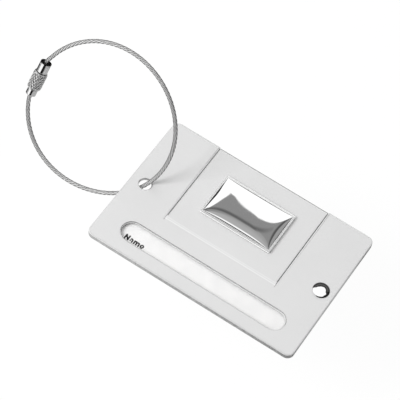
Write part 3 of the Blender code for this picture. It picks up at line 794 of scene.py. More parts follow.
def tray_outline():
    return rounded(
        [(-HALF_W, -HALF_H, CORNER_R), (HALF_W, -HALF_H, CORNER_R), (HALF_W, HALF_H, CORNER_R)]
        + rivet_arc(LIP_CLEAR_R, HALF_H, UNDER_LIP, 6)
        + rivet_arc(TRAY_ARC_R, UNDER_LIP, NOTCH_Y, 40)
        + [(-HALF_W, NOTCH_Y, 1.5)]
    )


def well_outline():
    left, bottom = -HALF_W + TRAY_RIM, -HALF_H + TRAY_RIM
    right, top = HALF_W - TRAY_RIM, UNDER_LIP - TRAY_RIM
    notch = NOTCH_Y - TRAY_RIM
    beside = RIVET[0] - 5.0
    corners = (
        (left, bottom), (right, bottom), (right, WELL_STEP_Y), (beside, WELL_STEP_Y), (beside, top)
    )
    return rounded(
        [(x, y, WELL_CORNER_R) for x, y in corners]
        + rivet_arc(TRAY_ARC_R - TRAY_RIM, top, notch, 36)
        + [(left, notch, WELL_CORNER_R)]
    )


def tray_piece():
    well = well_outline()
    pivot = circle(*RIVET, PIVOT_HOLE_R)
    seat = circle(*RIVET, 2.95)  # recess in the underside
    shoulder = circle(*RIVET, 3.25)  # recess in the top
    pocket = [
        (TRAY_TOP, offset(well, 0.3), 0.0),
        (TRAY_TOP, offset(well, 0.1), 1.0),
        (TRAY_TOP - 0.03, offset(well, 0.03), 1.0),
        (TRAY_TOP - 0.1, well, 0.5),
        (WELL_FLOOR, well, 0.0),
    ]
    rivet_hole = [
        (0, offset(seat, 0.35), 0.0),
        (0, offset(seat, 0.1), 1.0),
        (0.1, seat, 0.6),
        (0.45, seat, 0.0),
        (0.45, pivot, 0.0),
        (0.87, pivot, 0.0),
        (0.87, shoulder, 0.0),
        (TRAY_TOP, shoulder, 0.0),
    ]
    wall = walls(tray_outline(), 0.0, TRAY_TOP, low_radius=0.2, high_radius=0.05)
    return slab("tray_pan", TRAY_MAT, wall, holes=[rivet_hole], pockets=[pocket])


register(tray_piece(), "card_tray", "tray")

for node, material in (
    ("name_card", CARD_MAT),
    ("window_film", FILM_MAT),
    ("friction_washer", NYLON_MAT),
    ("badge_adhesive", TAPE_MAT),
):
    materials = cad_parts[node].data.materials
    materials.clear()
    materials.append(material)


# ------------------------------------------------------------------ the card's label
PEN, PEN_A, PEN_E, PEN_BAR = 0.53, 0.47, 0.42, 0.22  # stroke widths
CAP_HEIGHT, LOWER_HEIGHT = 2.18, 1.62
LETTER_GAP = 0.26
LABEL_X, LABEL_Y = -29.0, -21.45


def stroke(line, pen):
    """A pen line with round ends, as an outline."""
    radius = pen / 2
    left, right = [], []
    for i, (x, y) in enumerate(line):
        before, after = line[max(i - 1, 0)], line[min(i + 1, len(line) - 1)]
        run = math.hypot(after[0] - before[0], after[1] - before[1])
        across_x, across_y = -(after[1] - before[1]) / run, (after[0] - before[0]) / run
        left.append((x + across_x * radius, y + across_y * radius))
        right.append((x - across_x * radius, y - across_y * radius))

    def cap(centre, side):
        start = math.degrees(math.atan2(side[1] - centre[1], side[0] - centre[0]))
        return arc(*centre, radius, start, start + 180, 8)[1:-1]

    return left[::-1] + cap(line[0], left[0]) + right + cap(line[-1], right[-1])


def letters():
    """The letters N, a, m and e, each as (width, strokes); a stroke is (pen, line)."""
    half, cap, top = PEN / 2, CAP_HEIGHT, LOWER_HEIGHT
    n_right = 1.72 - half
    a_right = 1.36 - half
    arch_rise = top - half - 0.95
    return (
        (1.72, (
            (PEN, [(half, half), (half, cap - half)]),
            (PEN, [(half, cap - half), (n_right, half)]),
            (PEN, [(n_right, half), (n_right, cap - half)]),
        )),
        (1.36, (
            (PEN_A, [(a_right, half)] + oval(0.68, 0.98, a_right - 0.68, top - 1.19, 0, 128)),
            (PEN_A, oval(0.62, 0.50, 0.41, 0.30, 60, 420, 28)),
        )),
        (2.24, (
            (PEN, [(half, half), (half, top - half)]),
            (PEN, oval(0.67, 0.95, 0.67 - half, arch_rise, 180, 0) + [(1.125, half)]),
            (PEN, oval(1.575, 0.95, 0.45, arch_rise, 180, 0) + [(2.025, half)]),
        )),
        (1.42, (
            (PEN_E, oval(0.71, top / 2, 0.51, top / 2 - 0.20, -8, 306, 30)),
            (PEN_BAR, [(0.22, top / 2 - 0.10), (1.22, top / 2 - 0.10)]),
        )),
    )


def label_piece():
    solid = Solid()
    start = LABEL_X
    for width, strokes in letters():
        for pen, line in strokes:
            outline = [(x + start, y + LABEL_Y) for x, y in stroke(line, pen)]
            rings = [
                solid.ring([(x, y, CARD_HIGH.z + rise) for x, y in outline])
                for rise in (0.004, 0.02)
            ]
            solid.bridge(rings)
            for ring in rings:
                solid.fill([ring])
        start += width + LETTER_GAP
    return solid.finish("name_label", INK_MAT, sharp=40.0)


label = label_piece()
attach(label, "tray")


# ------------------------------------------------------------------ badge
BEZEL = 0.8
BADGE_CORNER_R = 0.45
BADGE_HALF_W = (BASE_HIGH.x - BASE_LOW.x) / 2
BADGE_HALF_H = (BASE_HIGH.y - BASE_LOW.y) / 2


def badge_ring(inset):
    """The badge's outline, about its own centre, moved in."""
    x, y = BADGE_HALF_W - inset, BADGE_HALF_H - inset
    radius = max(0.1, BADGE_CORNER_R - inset)
    return rounded([(-x, -y, radius), (x, -y, radius), (x, y, radius), (-x, y, radius)], 12)


def badge_frame():
    """A thin bezel with a stepped rim: an outer bead, a fine valley and an inner bead."""
    low, high = BASE_LOW.z - 0.08, BASE_HIGH.z
    bead = []
    # Negative marks on the lower bead rings paint them pale: painted light over a dark reflection.
    for k, edge in enumerate((-1.0, -0.8, -0.2, 0.3, 0.6, 0.6)):
        angle = math.pi / 2 * k / 5
        inset = 0.16 * (1 - math.cos(angle))
        bead.append((high - 0.2 + 0.16 * math.sin(angle), inset, edge))
    # (z, inset, edge) up the outside, then down into the pocket; -1.0 on the outer wall paints it
    # pale, as painted light
    outside = [
        (low, 0.5, 0.0), (low, 0.12, 0.3), (low + 0.06, 0.03, 0.0), (low + 0.16, 0.0, -1.0),
        *bead,
        (high - 0.04, 0.3, 0.0), (high - 0.09, 0.34, 0.4), (high - 0.09, 0.38, 0.4),
        (high - 0.03, 0.42, 0.0), (high, 0.5, 0.0), (high, 0.66, 0.0),
    ]
    pocket = [
        (high, 0.70, 0.0), (high - 0.03, BEZEL - 0.03, 0.6),
        (high - 0.08, BEZEL, 0.5), (low + 0.3, BEZEL, 0.0),
    ]
    outer, inner = (
        [(z, badge_ring(inset), edge) for z, inset, edge in levels]
        for levels in (outside, pocket)
    )
    made = slab("badge_frame", BEZEL_MAT, outer, pockets=[inner])
    return stand(made, (*BADGE, 0))


register(badge_frame(), "badge_base", "tongue")

PILLOW_LONG, PILLOW_SHORT = 2.7, 1.8  # powers of the fall towards the ends and the sides
PILLOW_GAP = 0.03


def crowded(k, count):
    """Station k of count from -1 to 1, the stations crowding towards both ends."""
    share = 2 * k / count - 1
    return math.copysign(1 - (1 - abs(math.sin(math.pi / 2 * share))) ** 1.25, share)


def pillow(columns=150, rows=100):
    """The polished pillow: level at its middle, falling ever faster to its four edges."""
    half_w, half_h = BADGE_HALF_W - BEZEL - PILLOW_GAP, BADGE_HALF_H - BEZEL - PILLOW_GAP
    low, edge = DOME_LOW.z, BASE_HIGH.z - 0.03
    rise = DOME_HIGH.z - edge
    solid = Solid("edge")
    top = []
    for j in range(rows + 1):
        y = crowded(j, rows)
        row = []
        for i in range(columns + 1):
            x = crowded(i, columns)
            share = max(0.0, (1 - abs(x) ** PILLOW_LONG) * (1 - abs(y) ** PILLOW_SHORT))
            row.append(solid.vert(x * half_w, y * half_h, edge + rise * math.sqrt(share)))
        top.append(row)
    for near, far in zip(top, top[1:]):
        for i in range(columns):
            solid.face(near[i], near[i + 1], far[i + 1], far[i])
    rim = (
        top[0]
        + [row[-1] for row in top[1:]]
        + top[-1][-2::-1]
        + [row[0] for row in top[-2:0:-1]]
    )
    foot = solid.ring([(vert.co.x, vert.co.y, low) for vert in rim])
    solid.bridge([rim, foot])
    solid.face(*foot)
    for vert in solid.mesh.verts:
        # Painted dark reflection along the left end, where the pillow meets the bezel.
        along = min(1.0, max(0.0, (vert.co.y / half_h + 1) / 1.76))
        reach = 0.75 * math.sin(math.pi * along**1.25)
        vert[solid.layer] = -min(1.0, max(0.0, (reach - vert.co.x - half_w) / 0.14))
    return stand(solid.finish("badge_pillow", BADGE_MAT, sharp=40.0), (*BADGE, 0))


register(pillow(), "badge_dome", "tongue")


# ------------------------------------------------------------------ rivet and collar
RIVET_R = (RIVET_HIGH.x - RIVET_LOW.x) / 2
RIVET_STEPS = 96
RIVET_BASE = FRONT + 0.03  # underside of the head
FLANK_DROP = 0.27
FACE_TOP = RIVET_BASE + 0.08 + FLANK_DROP
FACE_SAG = 0.012
FACE_LEAN = math.tan(math.radians(3.5))
# (degrees, radius) of the level oval face
FACE_OUTLINE = (
    (10, 1.50), (70, 1.40), (108, 1.20), (146, 1.24), (180, 1.62),
    (206, 2.74), (232, 2.94), (267, 2.84), (301, 2.64), (337, 2.36),
)


def face_radius(turn):
    degrees = math.degrees(turn) % 360
    first, first_radius = FACE_OUTLINE[0]
    following = FACE_OUTLINE[1:] + ((first + 360, first_radius),)
    for (start, start_radius), (end, end_radius) in zip(FACE_OUTLINE, following):
        for angle in (degrees, degrees + 360):
            if start <= angle <= end:
                share = (angle - start) / (end - start)
                return start_radius + (end_radius - start_radius) * share * share * (3 - 2 * share)


def flank_painted_dark(turn, share):
    """The flank's painted dark reflection: none at the front left, paler in a streak along its
    middle.
    """
    gap = abs((math.degrees(turn) - 231 + 180) % 360 - 180)
    streak = 0.17 * math.exp(-(((share - 0.5) / 0.13) ** 2))
    return -min(1.0, max(0.0, (gap - 25) / 15)) * (1.0 - streak)


def face_point(turn, share):
    reach = share * face_radius(turn)
    at = Vector((reach * math.cos(turn), reach * math.sin(turn)))
    return (*at, FACE_TOP - FACE_SAG * share**2 - FACE_LEAN * at.y, 0.0)


def flank_point(turn, share):
    reach, rim_radius = face_radius(turn), RIVET_R - 0.02
    face = Vector((reach * math.cos(turn), reach * math.sin(turn)))
    rim = Vector((rim_radius * math.cos(turn), rim_radius * math.sin(turn)))
    fall = FLANK_DROP * (share - 0.12 * math.sin(math.pi * share) / math.pi)
    z = FACE_TOP - FACE_SAG - fall - FACE_LEAN * face.y * (1 - share)
    return (*face.lerp(rim, share), z, flank_painted_dark(turn, share))


def rivet_piece():
    """A pressed rivet: a nearly level oval face, off centre towards the front left, a flank
    painted dark round the rest of it as a painted reflection, a shank and a clenched end."""
    turns = [math.tau * k / RIVET_STEPS for k in range(RIVET_STEPS)]
    base = RIVET_BASE
    # (radius, z) from the head's rim down the shank
    tail = [
        (RIVET_R - 0.006, base + 0.075), (RIVET_R, base + 0.03), (RIVET_R - 0.04, base),
        (1.5, base), (1.5, 0.42), (1.02, 0.42), (1.02, 0.24),
        *[(1.02 + 0.5 * math.sin(math.pi * k / 8), 0.24 - 0.2 * k / 8) for k in range(1, 6)],
        (0.9, 0.06), (0.45, 0.12),
    ]
    points = [[(0.0, 0.0, FACE_TOP, 0.0)]]
    points += [[face_point(turn, k / 12) for turn in turns] for k in range(1, 13)]
    points += [[flank_point(turn, k / 18) for turn in turns] for k in range(1, 19)]
    for radius, z in tail:
        # The head's rim takes the flank's painted dark reflection at 0.6.
        dark = 0.6 if z > base + 0.01 else 0.0
        points.append(
            [
                (radius * math.cos(turn), radius * math.sin(turn), z, dark * flank_painted_dark(turn, 1.0))
                for turn in turns
            ]
        )
    points.append([(0, 0, 0.17)])
    solid = Solid("edge")
    solid.bridge([solid.ring(ring) for ring in points])
    return stand(solid.finish("rivet_domed", RIVET_MAT, sharp=42.0), (*RIVET, 0))


register(rivet_piece(), "pivot_rivet", "cover")


def collar_piece():
    inner, outer, low, high = 1.12, 2.7, 0.05, 0.33
    # (radius, z, edge)
    profile = [
        (inner + 0.62, low + 0.16, 0.3), (inner + 0.7, low + 0.05, 0.8), (inner + 0.8, low, 0.6),
        (outer - 0.18, low, 0.4), (outer - 0.06, low + 0.04, 1.0), (outer, low + 0.12, 1.0),
        (outer, high, 0.2), (inner, high, 0.0), (inner, low + 0.2, 0.0),
    ]
    made = turned("rivet_burr", COLLAR_MAT, profile, steps=64, closed=True)
    return stand(made, (*RIVET, 0))


register(collar_piece(), "rivet_collar", "cover")


# ------------------------------------------------------------------ the loop's line
# Angles are degrees; those round the loop start at the cover's hole.
LOOP_R = 26.73
LOOP_AZIMUTH, LOOP_ELEVATION, LOOP_PHASE = -85.35, 31.74, -33.05
LOOP_HARMONICS = ((2, 0.00523, -163.1), (3, 0.01207, 60.8))  # (order, share, phase)
HOLE_ROPE_Z = 1.52  # the rope's height in the hole
CLASP_ANGLE, CLASP_HALF = 206.5, 6.7
BEND_OUT = 22.0  # where the rope leaves the loop for the clasp, from the clasp
OPPOSITE = CLASP_ANGLE - 180
HINGES = (41.5, 99.5)  # either side of the point opposite the clasp
ROPE_IN = 2.2  # length hidden in each ferrule


def loop_axes():
    """The loop plane's normal and two directions in it, the first towards angle zero."""
    azimuth, elevation = math.radians(LOOP_AZIMUTH), math.radians(LOOP_ELEVATION)
    level_part = math.cos(elevation)
    normal = Vector(
        (level_part * math.cos(azimuth), level_part * math.sin(azimuth), math.sin(elevation))
    )
    level = Vector((0, 0, 1)).cross(normal).normalized()
    phase = math.radians(LOOP_PHASE)
    first = level * math.cos(phase) + normal.cross(level) * math.sin(phase)
    return normal, first, normal.cross(first)


LOOP_NORMAL, LOOP_FIRST, LOOP_SECOND = loop_axes()


def loop_radius(angle):
    share = sum(
        part * math.cos(order * math.radians(angle) - math.radians(phase))
        for order, part, phase in LOOP_HARMONICS
    )
    return LOOP_R * (1 + share)


def outwards(angle):
    turn = math.radians(angle)
    return LOOP_FIRST * math.cos(turn) + LOOP_SECOND * math.sin(turn)


LOOP_CENTRE = Vector((HOLE_X, HOLE_Y, HOLE_ROPE_Z)) - outwards(0) * loop_radius(0)
CLASP_AXIS = -LOOP_NORMAL.cross(outwards(CLASP_ANGLE))
CLASP_CENTRE = LOOP_CENTRE + outwards(CLASP_ANGLE) * math.sqrt(
    loop_radius(CLASP_ANGLE) ** 2 - CLASP_HALF**2
)


def on_loop(angle):
    return LOOP_CENTRE + outwards(angle) * loop_radius(angle)


def into_clasp(angle, side, steps=40):
    """A smooth curve from the loop to the clasp's end, then straight into its ferrule."""
    start, end = on_loop(angle), CLASP_CENTRE + CLASP_AXIS * (side * CLASP_HALF)
    leaving = (on_loop(angle + side) - on_loop(angle)).normalized()
    arriving = CLASP_AXIS * -side
    span = (end - start).length
    curve = []
    for i in range(1, steps + 1):
        t = i / steps
        curve.append(
            start * (2 * t**3 - 3 * t**2 + 1)
            + leaving * (span * (t**3 - 2 * t**2 + t))
            + end * (3 * t**2 - 2 * t**3)
            + arriving * (span * (t**3 - t**2))
        )
    return curve + [end + arriving * (ROPE_IN * k / 6) for k in range(1, 7)]


def half_rope(side, steps=400):
    """The rope's centre line from opposite the clasp to its ferrule, with the length run."""
    leave = CLASP_ANGLE - BEND_OUT if side > 0 else CLASP_ANGLE + BEND_OUT - 360
    points = [on_loop(OPPOSITE + (leave - OPPOSITE) * i / steps) for i in range(steps + 1)]
    points += into_clasp(leave, side)
    lengths = [0.0]
    for before, after in zip(points, points[1:]):
        lengths.append(lengths[-1] + (after - before).length)
    return points, lengths


def along(points, lengths, run):
    """The point and the direction of travel at a length along the line."""
    low, high = 0, len(lengths) - 1
    while high - low > 1:
        mid = (low + high) // 2
        if lengths[mid] <= run:
            low = mid
        else:
            high = mid
    share = (run - lengths[low]) / (lengths[high] - lengths[low])

    def tangent(i):
        return (points[min(i + 1, len(points) - 1)] - points[max(i - 1, 0)]).normalized()

    direction = tangent(low).lerp(tangent(high), share).normalized()
    return points[low].lerp(points[high], share), direction


def rope_length_at(side, angle):
    points, lengths = half_rope(side)
    target = on_loop(angle)
    nearest = min(range(len(points)), key=lambda i: (points[i] - target).length)
    return lengths[nearest]


# ------------------------------------------------------------------ rope
ROPE_R = 0.725
STRANDS, WIRES = 6, 6
LAY, WIRE_LAY = 9.6, 3.1  # lengths in which the strands and the wires turn once
STRAND_R = ROPE_R / 3
STRAND_HELIX_R = ROPE_R - STRAND_R * 1.03
STRAND_SIDES, CORE_SIDES = 12, 8
ROPE_STEP = 0.24


def strand_section(number, run):
    """One strand's (x, y, groove) across the rope, fluted by its wires. The groove value sets the
    painted shade between the wires and between the strands.
    """
    facing = math.tau * (number / STRANDS + run / LAY)
    x, y = STRAND_HELIX_R * math.cos(facing), STRAND_HELIX_R * math.sin(facing)
    section = []
    for k in range(STRAND_SIDES):
        angle = facing + math.tau * k / STRAND_SIDES
        flute = 0.5 - 0.5 * math.cos(WIRES * (angle - facing) + math.tau * run / WIRE_LAY)
        radius = STRAND_R * (1.03 - 0.10 * flute)
        inward = 0.5 - 0.5 * math.cos(angle - facing)
        groove = min(1.0, 0.30 * flute + 1.1 * max(0.0, inward - 0.3))
        section.append((x + radius * math.cos(angle), y + radius * math.sin(angle), groove))
    return section


def core_section():
    points = circle(0.0, 0.0, STRAND_R * 0.95, CORE_SIDES)
    return [(x, y, 1.0) for x, y in points]


def rope_piece(name, side, start, end):
    """Twisted strands round a core. start and end are lengths from the point opposite the
    clasp, so that neighbours' strands meet."""
    points, lengths = half_rope(side)
    end = min(end, lengths[-1])
    count = max(4, math.ceil((end - start) / ROPE_STEP))
    stations = []
    for i in range(count + 1):
        run = start + (end - start) * i / count
        point, tangent = along(points, lengths, run)
        across = (tangent * side).cross(LOOP_NORMAL).normalized()
        stations.append((run * side, point, across))
    solid = Solid("groove")
    radial = solid.mesh.verts.layers.float_vector.new("radial")

    def tube(section_at):
        rings = []
        for run, point, across in stations:
            ring = []
            for x, y, groove in section_at(run):
                vert = solid.vert(*(point + across * x + LOOP_NORMAL * y), groove)
                vert[radial] = (across * x + LOOP_NORMAL * y).normalized()
                ring.append(vert)
            rings.append(ring)
        solid.bridge(rings)
        solid.face(*rings[0])
        solid.face(*rings[-1])

    for number in range(STRANDS):
        tube(lambda run: strand_section(number, run))
    core = core_section()
    tube(lambda run: core)
    return solid.finish(name, ROPE_MAT, sharp=70.0)


HINGE_SPREAD = 27.0  # degrees each side of a hinge
LOWER_NEAR_LEAD = 12.5  # a shorter lead, in degrees, before the lower near piece's hinge
MEET = sum(HINGES) / 2

for side, word, near_lead in ((1, "upper", HINGE_SPREAD), (-1, "lower", LOWER_NEAR_LEAD)):
    first_body, last_body = f"cable_{word}_a", f"cable_{word}_b"
    meet = rope_length_at(side, OPPOSITE + side * MEET)
    near_nodes = ("cable_through", f"cable_{word}_near")
    for part, bodies, run, hinge, lead, nodes in (
        ("near", ("cable_mid", first_body), (0.0, meet), HINGES[0], near_lead, near_nodes),
        ("far", (first_body, last_body), (meet, math.inf), HINGES[1], HINGE_SPREAD,
         (f"cable_{word}_far",)),
    ):
        piece = rope_piece(f"rope_{word}_{part}", side, *run)
        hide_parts(*nodes)
        on_loop(OPPOSITE + side * (hinge - lead)) * MM
        on_loop(OPPOSITE + side * (hinge + HINGE_SPREAD)) * MM
        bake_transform(piece)


# ------------------------------------------------------------------ clasp
# Heights run along the clasp's axis from its middle.
HEAD_R, TAIL_R, SLEEVE_R = 1.97, 1.8, 2.45
HEAD_FROM, SLEEVE_TO, SLEEVE_FROM, TAIL_TO = 2.8, 2.55, -4.0, -4.25
SLEEVE_BORE, SLEEVE_LIP_BORE, SLEEVE_LIP = 1.7, 1.25, 0.8
THREAD_FROM, THREAD_PITCH, THREAD_R, THREAD_DEPTH = 0.3, 0.5, 1.3, 0.16


def thread_profile():
    """Rounded ridges, (radius, z, edge), from the screw's tip up to the head."""
    thread = []
    z = THREAD_FROM
    while z < HEAD_FROM - 0.5:
        for k in range(6):
            part = k / 6
            depth = THREAD_DEPTH * (0.5 + 0.5 * math.cos(math.tau * part))
            edge = 0.6 * (1 - depth / THREAD_DEPTH)
            thread.append((THREAD_R - depth, z + THREAD_PITCH * part, edge))
        z += THREAD_PITCH
    return thread


def head_piece():
    """The upper ferrule, with a turned groove near its end and a threaded stem."""
    end = CLASP_HALF
    bore_floor = end - ROPE_IN - 0.3
    # (radius, z, edge) from the rope's bore, over the outside, to the stem's tip; -1.0 paints the
    # bore's mouth and the end dark, a painted reflection
    profile = [
        (0, bore_floor, 0.0), (0.85, bore_floor, 0.0), (0.85, end - 0.3, -1.0),
        (0.86, end - 0.04, -1.0), (0.94, end, -1.0), (1.1, end, -1.0), (1.5, end, -1.0),
        *fillet(HEAD_R - 0.16, end - 0.16, 0.16, 90, 0, steps=6, edge=-1.0),
        (HEAD_R, end - 0.3, -1.0), (HEAD_R, end - 0.44, 0.0), (HEAD_R, end - 0.62, 0.2),
        (HEAD_R - 0.09, end - 0.68, 0.0), (HEAD_R - 0.09, end - 0.78, 0.0),
        (HEAD_R, end - 0.84, 0.2), (HEAD_R, HEAD_FROM + 0.3, 0.0),
        *fillet(HEAD_R - 0.14, HEAD_FROM + 0.14, 0.14, 0, -90),
        (1.2, HEAD_FROM, 0.0), (1.14, HEAD_FROM - 0.1, 0.0),
        *reversed(thread_profile()),
        (1.0, 0.0, 0.8), (0.0, 0.0, 0.3),
    ]
    return stand(turned("ferrule_head", FERRULE_MAT, profile), CLASP_CENTRE, CLASP_AXIS)


def tail_piece():
    """The lower ferrule, with a flange held inside the sleeve's lip."""
    end = -CLASP_HALF
    under = SLEEVE_FROM + SLEEVE_LIP + 0.3
    # (radius, z, edge) from the flange down to the rope's bore
    profile = [
        (0, under + 0.8, 0.0), (1.25, under + 0.8, 0.4), (1.35, under + 0.7, 0.8),
        (1.35, under, 0.4), (0.95, under, 0.0), (0.95, TAIL_TO, 0.0),
        (TAIL_R - 0.2, TAIL_TO, 0.2),
        *fillet(TAIL_R - 0.14, TAIL_TO - 0.14, 0.14, 90, 0),
        (TAIL_R, TAIL_TO - 0.3, 0.0), (TAIL_R, end + 0.5, 0.0),
        *fillet(TAIL_R - 0.22, end + 0.22, 0.22, 0, -80, steps=6),
        (1.1, end, 0.5), (1.02, end + 0.04, 1.0), (0.95, end + 0.14, 0.3),
        (0.95, TAIL_TO - 0.2, 0.0), (0, TAIL_TO - 0.2, 0.0),
    ]
    return stand(turned("ferrule_tail", FERRULE_MAT, profile), CLASP_CENTRE, CLASP_AXIS)


KNURL_AROUND, KNURL_SAMPLES = 14, 12  # cuts round the sleeve, and stations to each
KNURL_DEPTH = 0.21
KNURL_HEIGHT = math.tau * SLEEVE_R / KNURL_AROUND * 1.6  # of one diamond, along the axis
SLEEVE_BAND = 0.34  # the plain turned end


def knurl_cut(angle, z):
    """How deep the two crossing helical cuts go, from 0 on a tip to 1 in a groove."""
    round_share = KNURL_AROUND * angle / math.tau
    rise = (z - SLEEVE_FROM) / KNURL_HEIGHT

    def tooth(x):
        return abs((x + 0.5) % 1.0 - 0.5) * 2

    ridge = min(tooth(round_share + rise), tooth(round_share - rise))
    return 1.0 - min(1.0, ridge * 1.9)


def sleeve_piece():
    """A knurled tube with plain turned ends and a lip inside its lower one."""
    low, high = SLEEVE_FROM, SLEEVE_TO
    steps = KNURL_AROUND * KNURL_SAMPLES
    length = high - low - 2 * SLEEVE_BAND
    rows = round(length / KNURL_HEIGHT * KNURL_SAMPLES * 1.3)
    # (radius, z, groove) of the plain rings below and above the knurl; groove sets the painted
    # shade, deepest in the bore
    below = (
        (SLEEVE_LIP_BORE, low + 0.1, 0.5), (SLEEVE_LIP_BORE + 0.08, low, 0.2),
        (SLEEVE_R - 0.34, low, 0.3), (SLEEVE_R - 0.24, low + 0.04, 0.0),
        (SLEEVE_R - 0.17, low + 0.14, 0.1),
    )
    above = (
        (SLEEVE_R - 0.17, high - 0.14, 0.1), (SLEEVE_R - 0.24, high - 0.04, 0.0),
        (SLEEVE_R - 0.34, high, 0.1), (SLEEVE_BORE + 0.1, high, 0.4),
        (SLEEVE_BORE, high - 0.1, 0.8), (SLEEVE_BORE, low + SLEEVE_LIP, 1.0),
        (SLEEVE_LIP_BORE, low + SLEEVE_LIP, 1.0),
    )
    knurl = []
    for j in range(rows + 1):
        z = low + SLEEVE_BAND + length * j / rows
        fade = min(1.0, j / 2, (rows - j) / 2)
        ring = []
        for k in range(steps):
            angle = math.tau * k / steps
            cut = knurl_cut(angle, z) * fade
            radius = SLEEVE_R - KNURL_DEPTH * (cut + (1 - fade))
            groove = min(1.0, cut + 0.4 * (1 - fade))
            ring.append((radius * math.cos(angle), radius * math.sin(angle), z, groove))
        knurl.append(ring)
    points = [spun(*station, steps) for station in below] + knurl
    points += [spun(*station, steps) for station in above]
    solid = Solid("groove")
    rings = [solid.ring(ring) for ring in points]
    solid.bridge(rings + rings[:1])
    made = solid.finish("sleeve_knurled", KNURL_MAT, sharp=42.0)
    return stand(made, CLASP_CENTRE, CLASP_AXIS)


register(head_piece(), "head_ferrule", "cable_upper_b")
register(tail_piece(), "tail_ferrule", "cable_lower_b")
register(sleeve_piece(), "knurled_sleeve", "sleeve")


# ------------------------------------------------------------------ floor
def mirrored_floor_tone(mat, at):
    """What polished metal sees in the floor, patch by patch."""
    x, y = mat.axes(at, 2)
    left_back = x.ramp(over=(-0.100, -0.112)) * y.ramp(over=(-0.05, 0.0))
    close = (x + y * 0.9).ramp(over=(0.30, 0.22))
    beside = y.ramp(over=(-0.055, -0.045)) * y.ramp(over=(-0.010, -0.020))
    beside = beside * x.ramp(over=(-0.05, -0.04))
    beside_tone = x.ramp(over=(-0.04, 0.045), to=(0.58, 0.20), smooth=False)
    tone = mat.mix(close, 0.20, 0.52).toward(beside_tone, where=beside)
    front_right = y.ramp(over=(-0.20, -0.27)) * x.ramp(over=(0.0, 0.06))
    tone = tone.toward(0.015, where=front_right)
    behind = y.ramp(over=(0.020, 0.026)) * y.ramp(over=(0.16, 0.12))
    tone = tone.toward(0.22, where=behind * x.ramp(over=(-0.075, -0.055)))
    return tone.toward(0.06, where=left_back)


def floor_paper():
    """White paper: near white to the camera, grey to bounced light, toned in mirrors."""
    mat = Shader("floor_paper")
    at = mat.place()
    soft = mat.noise(at, scale=12.0, detail=3.0)
    camera_ray, glossy_ray = mat.add(
        "ShaderNodeLightPath", out=("Is Camera Ray", "Is Glossy Ray")
    )
    colour = mat.blend(soft, grey(0.66), grey(0.68))
    diffuse = mat.add("ShaderNodeBsdfDiffuse", {"Color": colour, "Roughness": 0.3})
    tone = mirrored_floor_tone(mat, at)
    mirrored = mat.add("ShaderNodeEmission", {"Color": grey(1.0), "Strength": tone})
    glow = mat.add("ShaderNodeEmission", {"Color": grey(1.0), "Strength": 1.0})
    matt = mat.add("ShaderNodeBsdfDiffuse", {"Color": grey(0.92)})
    paper = mat.add("ShaderNodeMixShader", {0: 0.94, 1: matt, 2: glow})
    seen = mat.add("ShaderNodeMixShader", {0: glossy_ray, 1: diffuse, 2: mirrored})
    return mat.surface(mat.add("ShaderNodeMixShader", {0: camera_ray, 1: seen, 2: paper}))


def make_floor():
    """Two discs: one just below the tag seen only in mirrors, and one lower down for the
    camera and shadows."""
    material = floor_paper()
    for name, drop, mirrored_only in (("floor_tone", 0.2, True), ("floor", 34, False)):
        disc = bmesh.new()
        bmesh.ops.create_circle(disc, cap_ends=True, radius=0.55, segments=96)
        mesh = bpy.data.meshes.new(name)
        disc.to_mesh(mesh)
        disc.free()
        mesh.materials.append(material)
        floor = bpy.data.objects.new(name, mesh)
        floor.location = (0, 0, CAD_LOW.z - drop * MM)
        bpy.context.scene.collection.objects.link(floor)
        floor.visible_glossy = mirrored_only
        if mirrored_only:
            floor.visible_camera = floor.visible_diffuse = floor.visible_shadow = False
            floor.visible_transmission = False


make_floor()


# ------------------------------------------------------------------ world
# Masks are drawn on the direction looked in: x to the right, y to the back, z up.
WHITE, BLACK = 1.22, 0.015


def left_of(x, y, start, end, soft=0.012):
    """One on the left of the line from start to end, in plan."""
    run = math.hypot(end[0] - start[0], end[1] - start[1])
    along_x, along_y = (end[0] - start[0]) / run, (end[1] - start[1]) / run
    side = y * along_x - x * along_y
    return (side + (along_y * start[0] - along_x * start[1])).ramp(over=(-soft, soft))


def close_to(x, y, start, end, width, soft):
    """One near the segment from start to end, in plan."""
    run = math.hypot(end[0] - start[0], end[1] - start[1])
    along_x, along_y = (end[0] - start[0]) / run, (end[1] - start[1]) / run
    from_x, from_y = x - start[0], y - start[1]
    share = (from_x * (along_x / run) + from_y * (along_y / run)).clamped()
    gap_x = from_x - share * (along_x * run)
    gap_y = from_y - share * (along_y * run)
    gap = (gap_x * gap_x + gap_y * gap_y).math("SQRT")
    return gap.ramp(over=(width + soft, width))


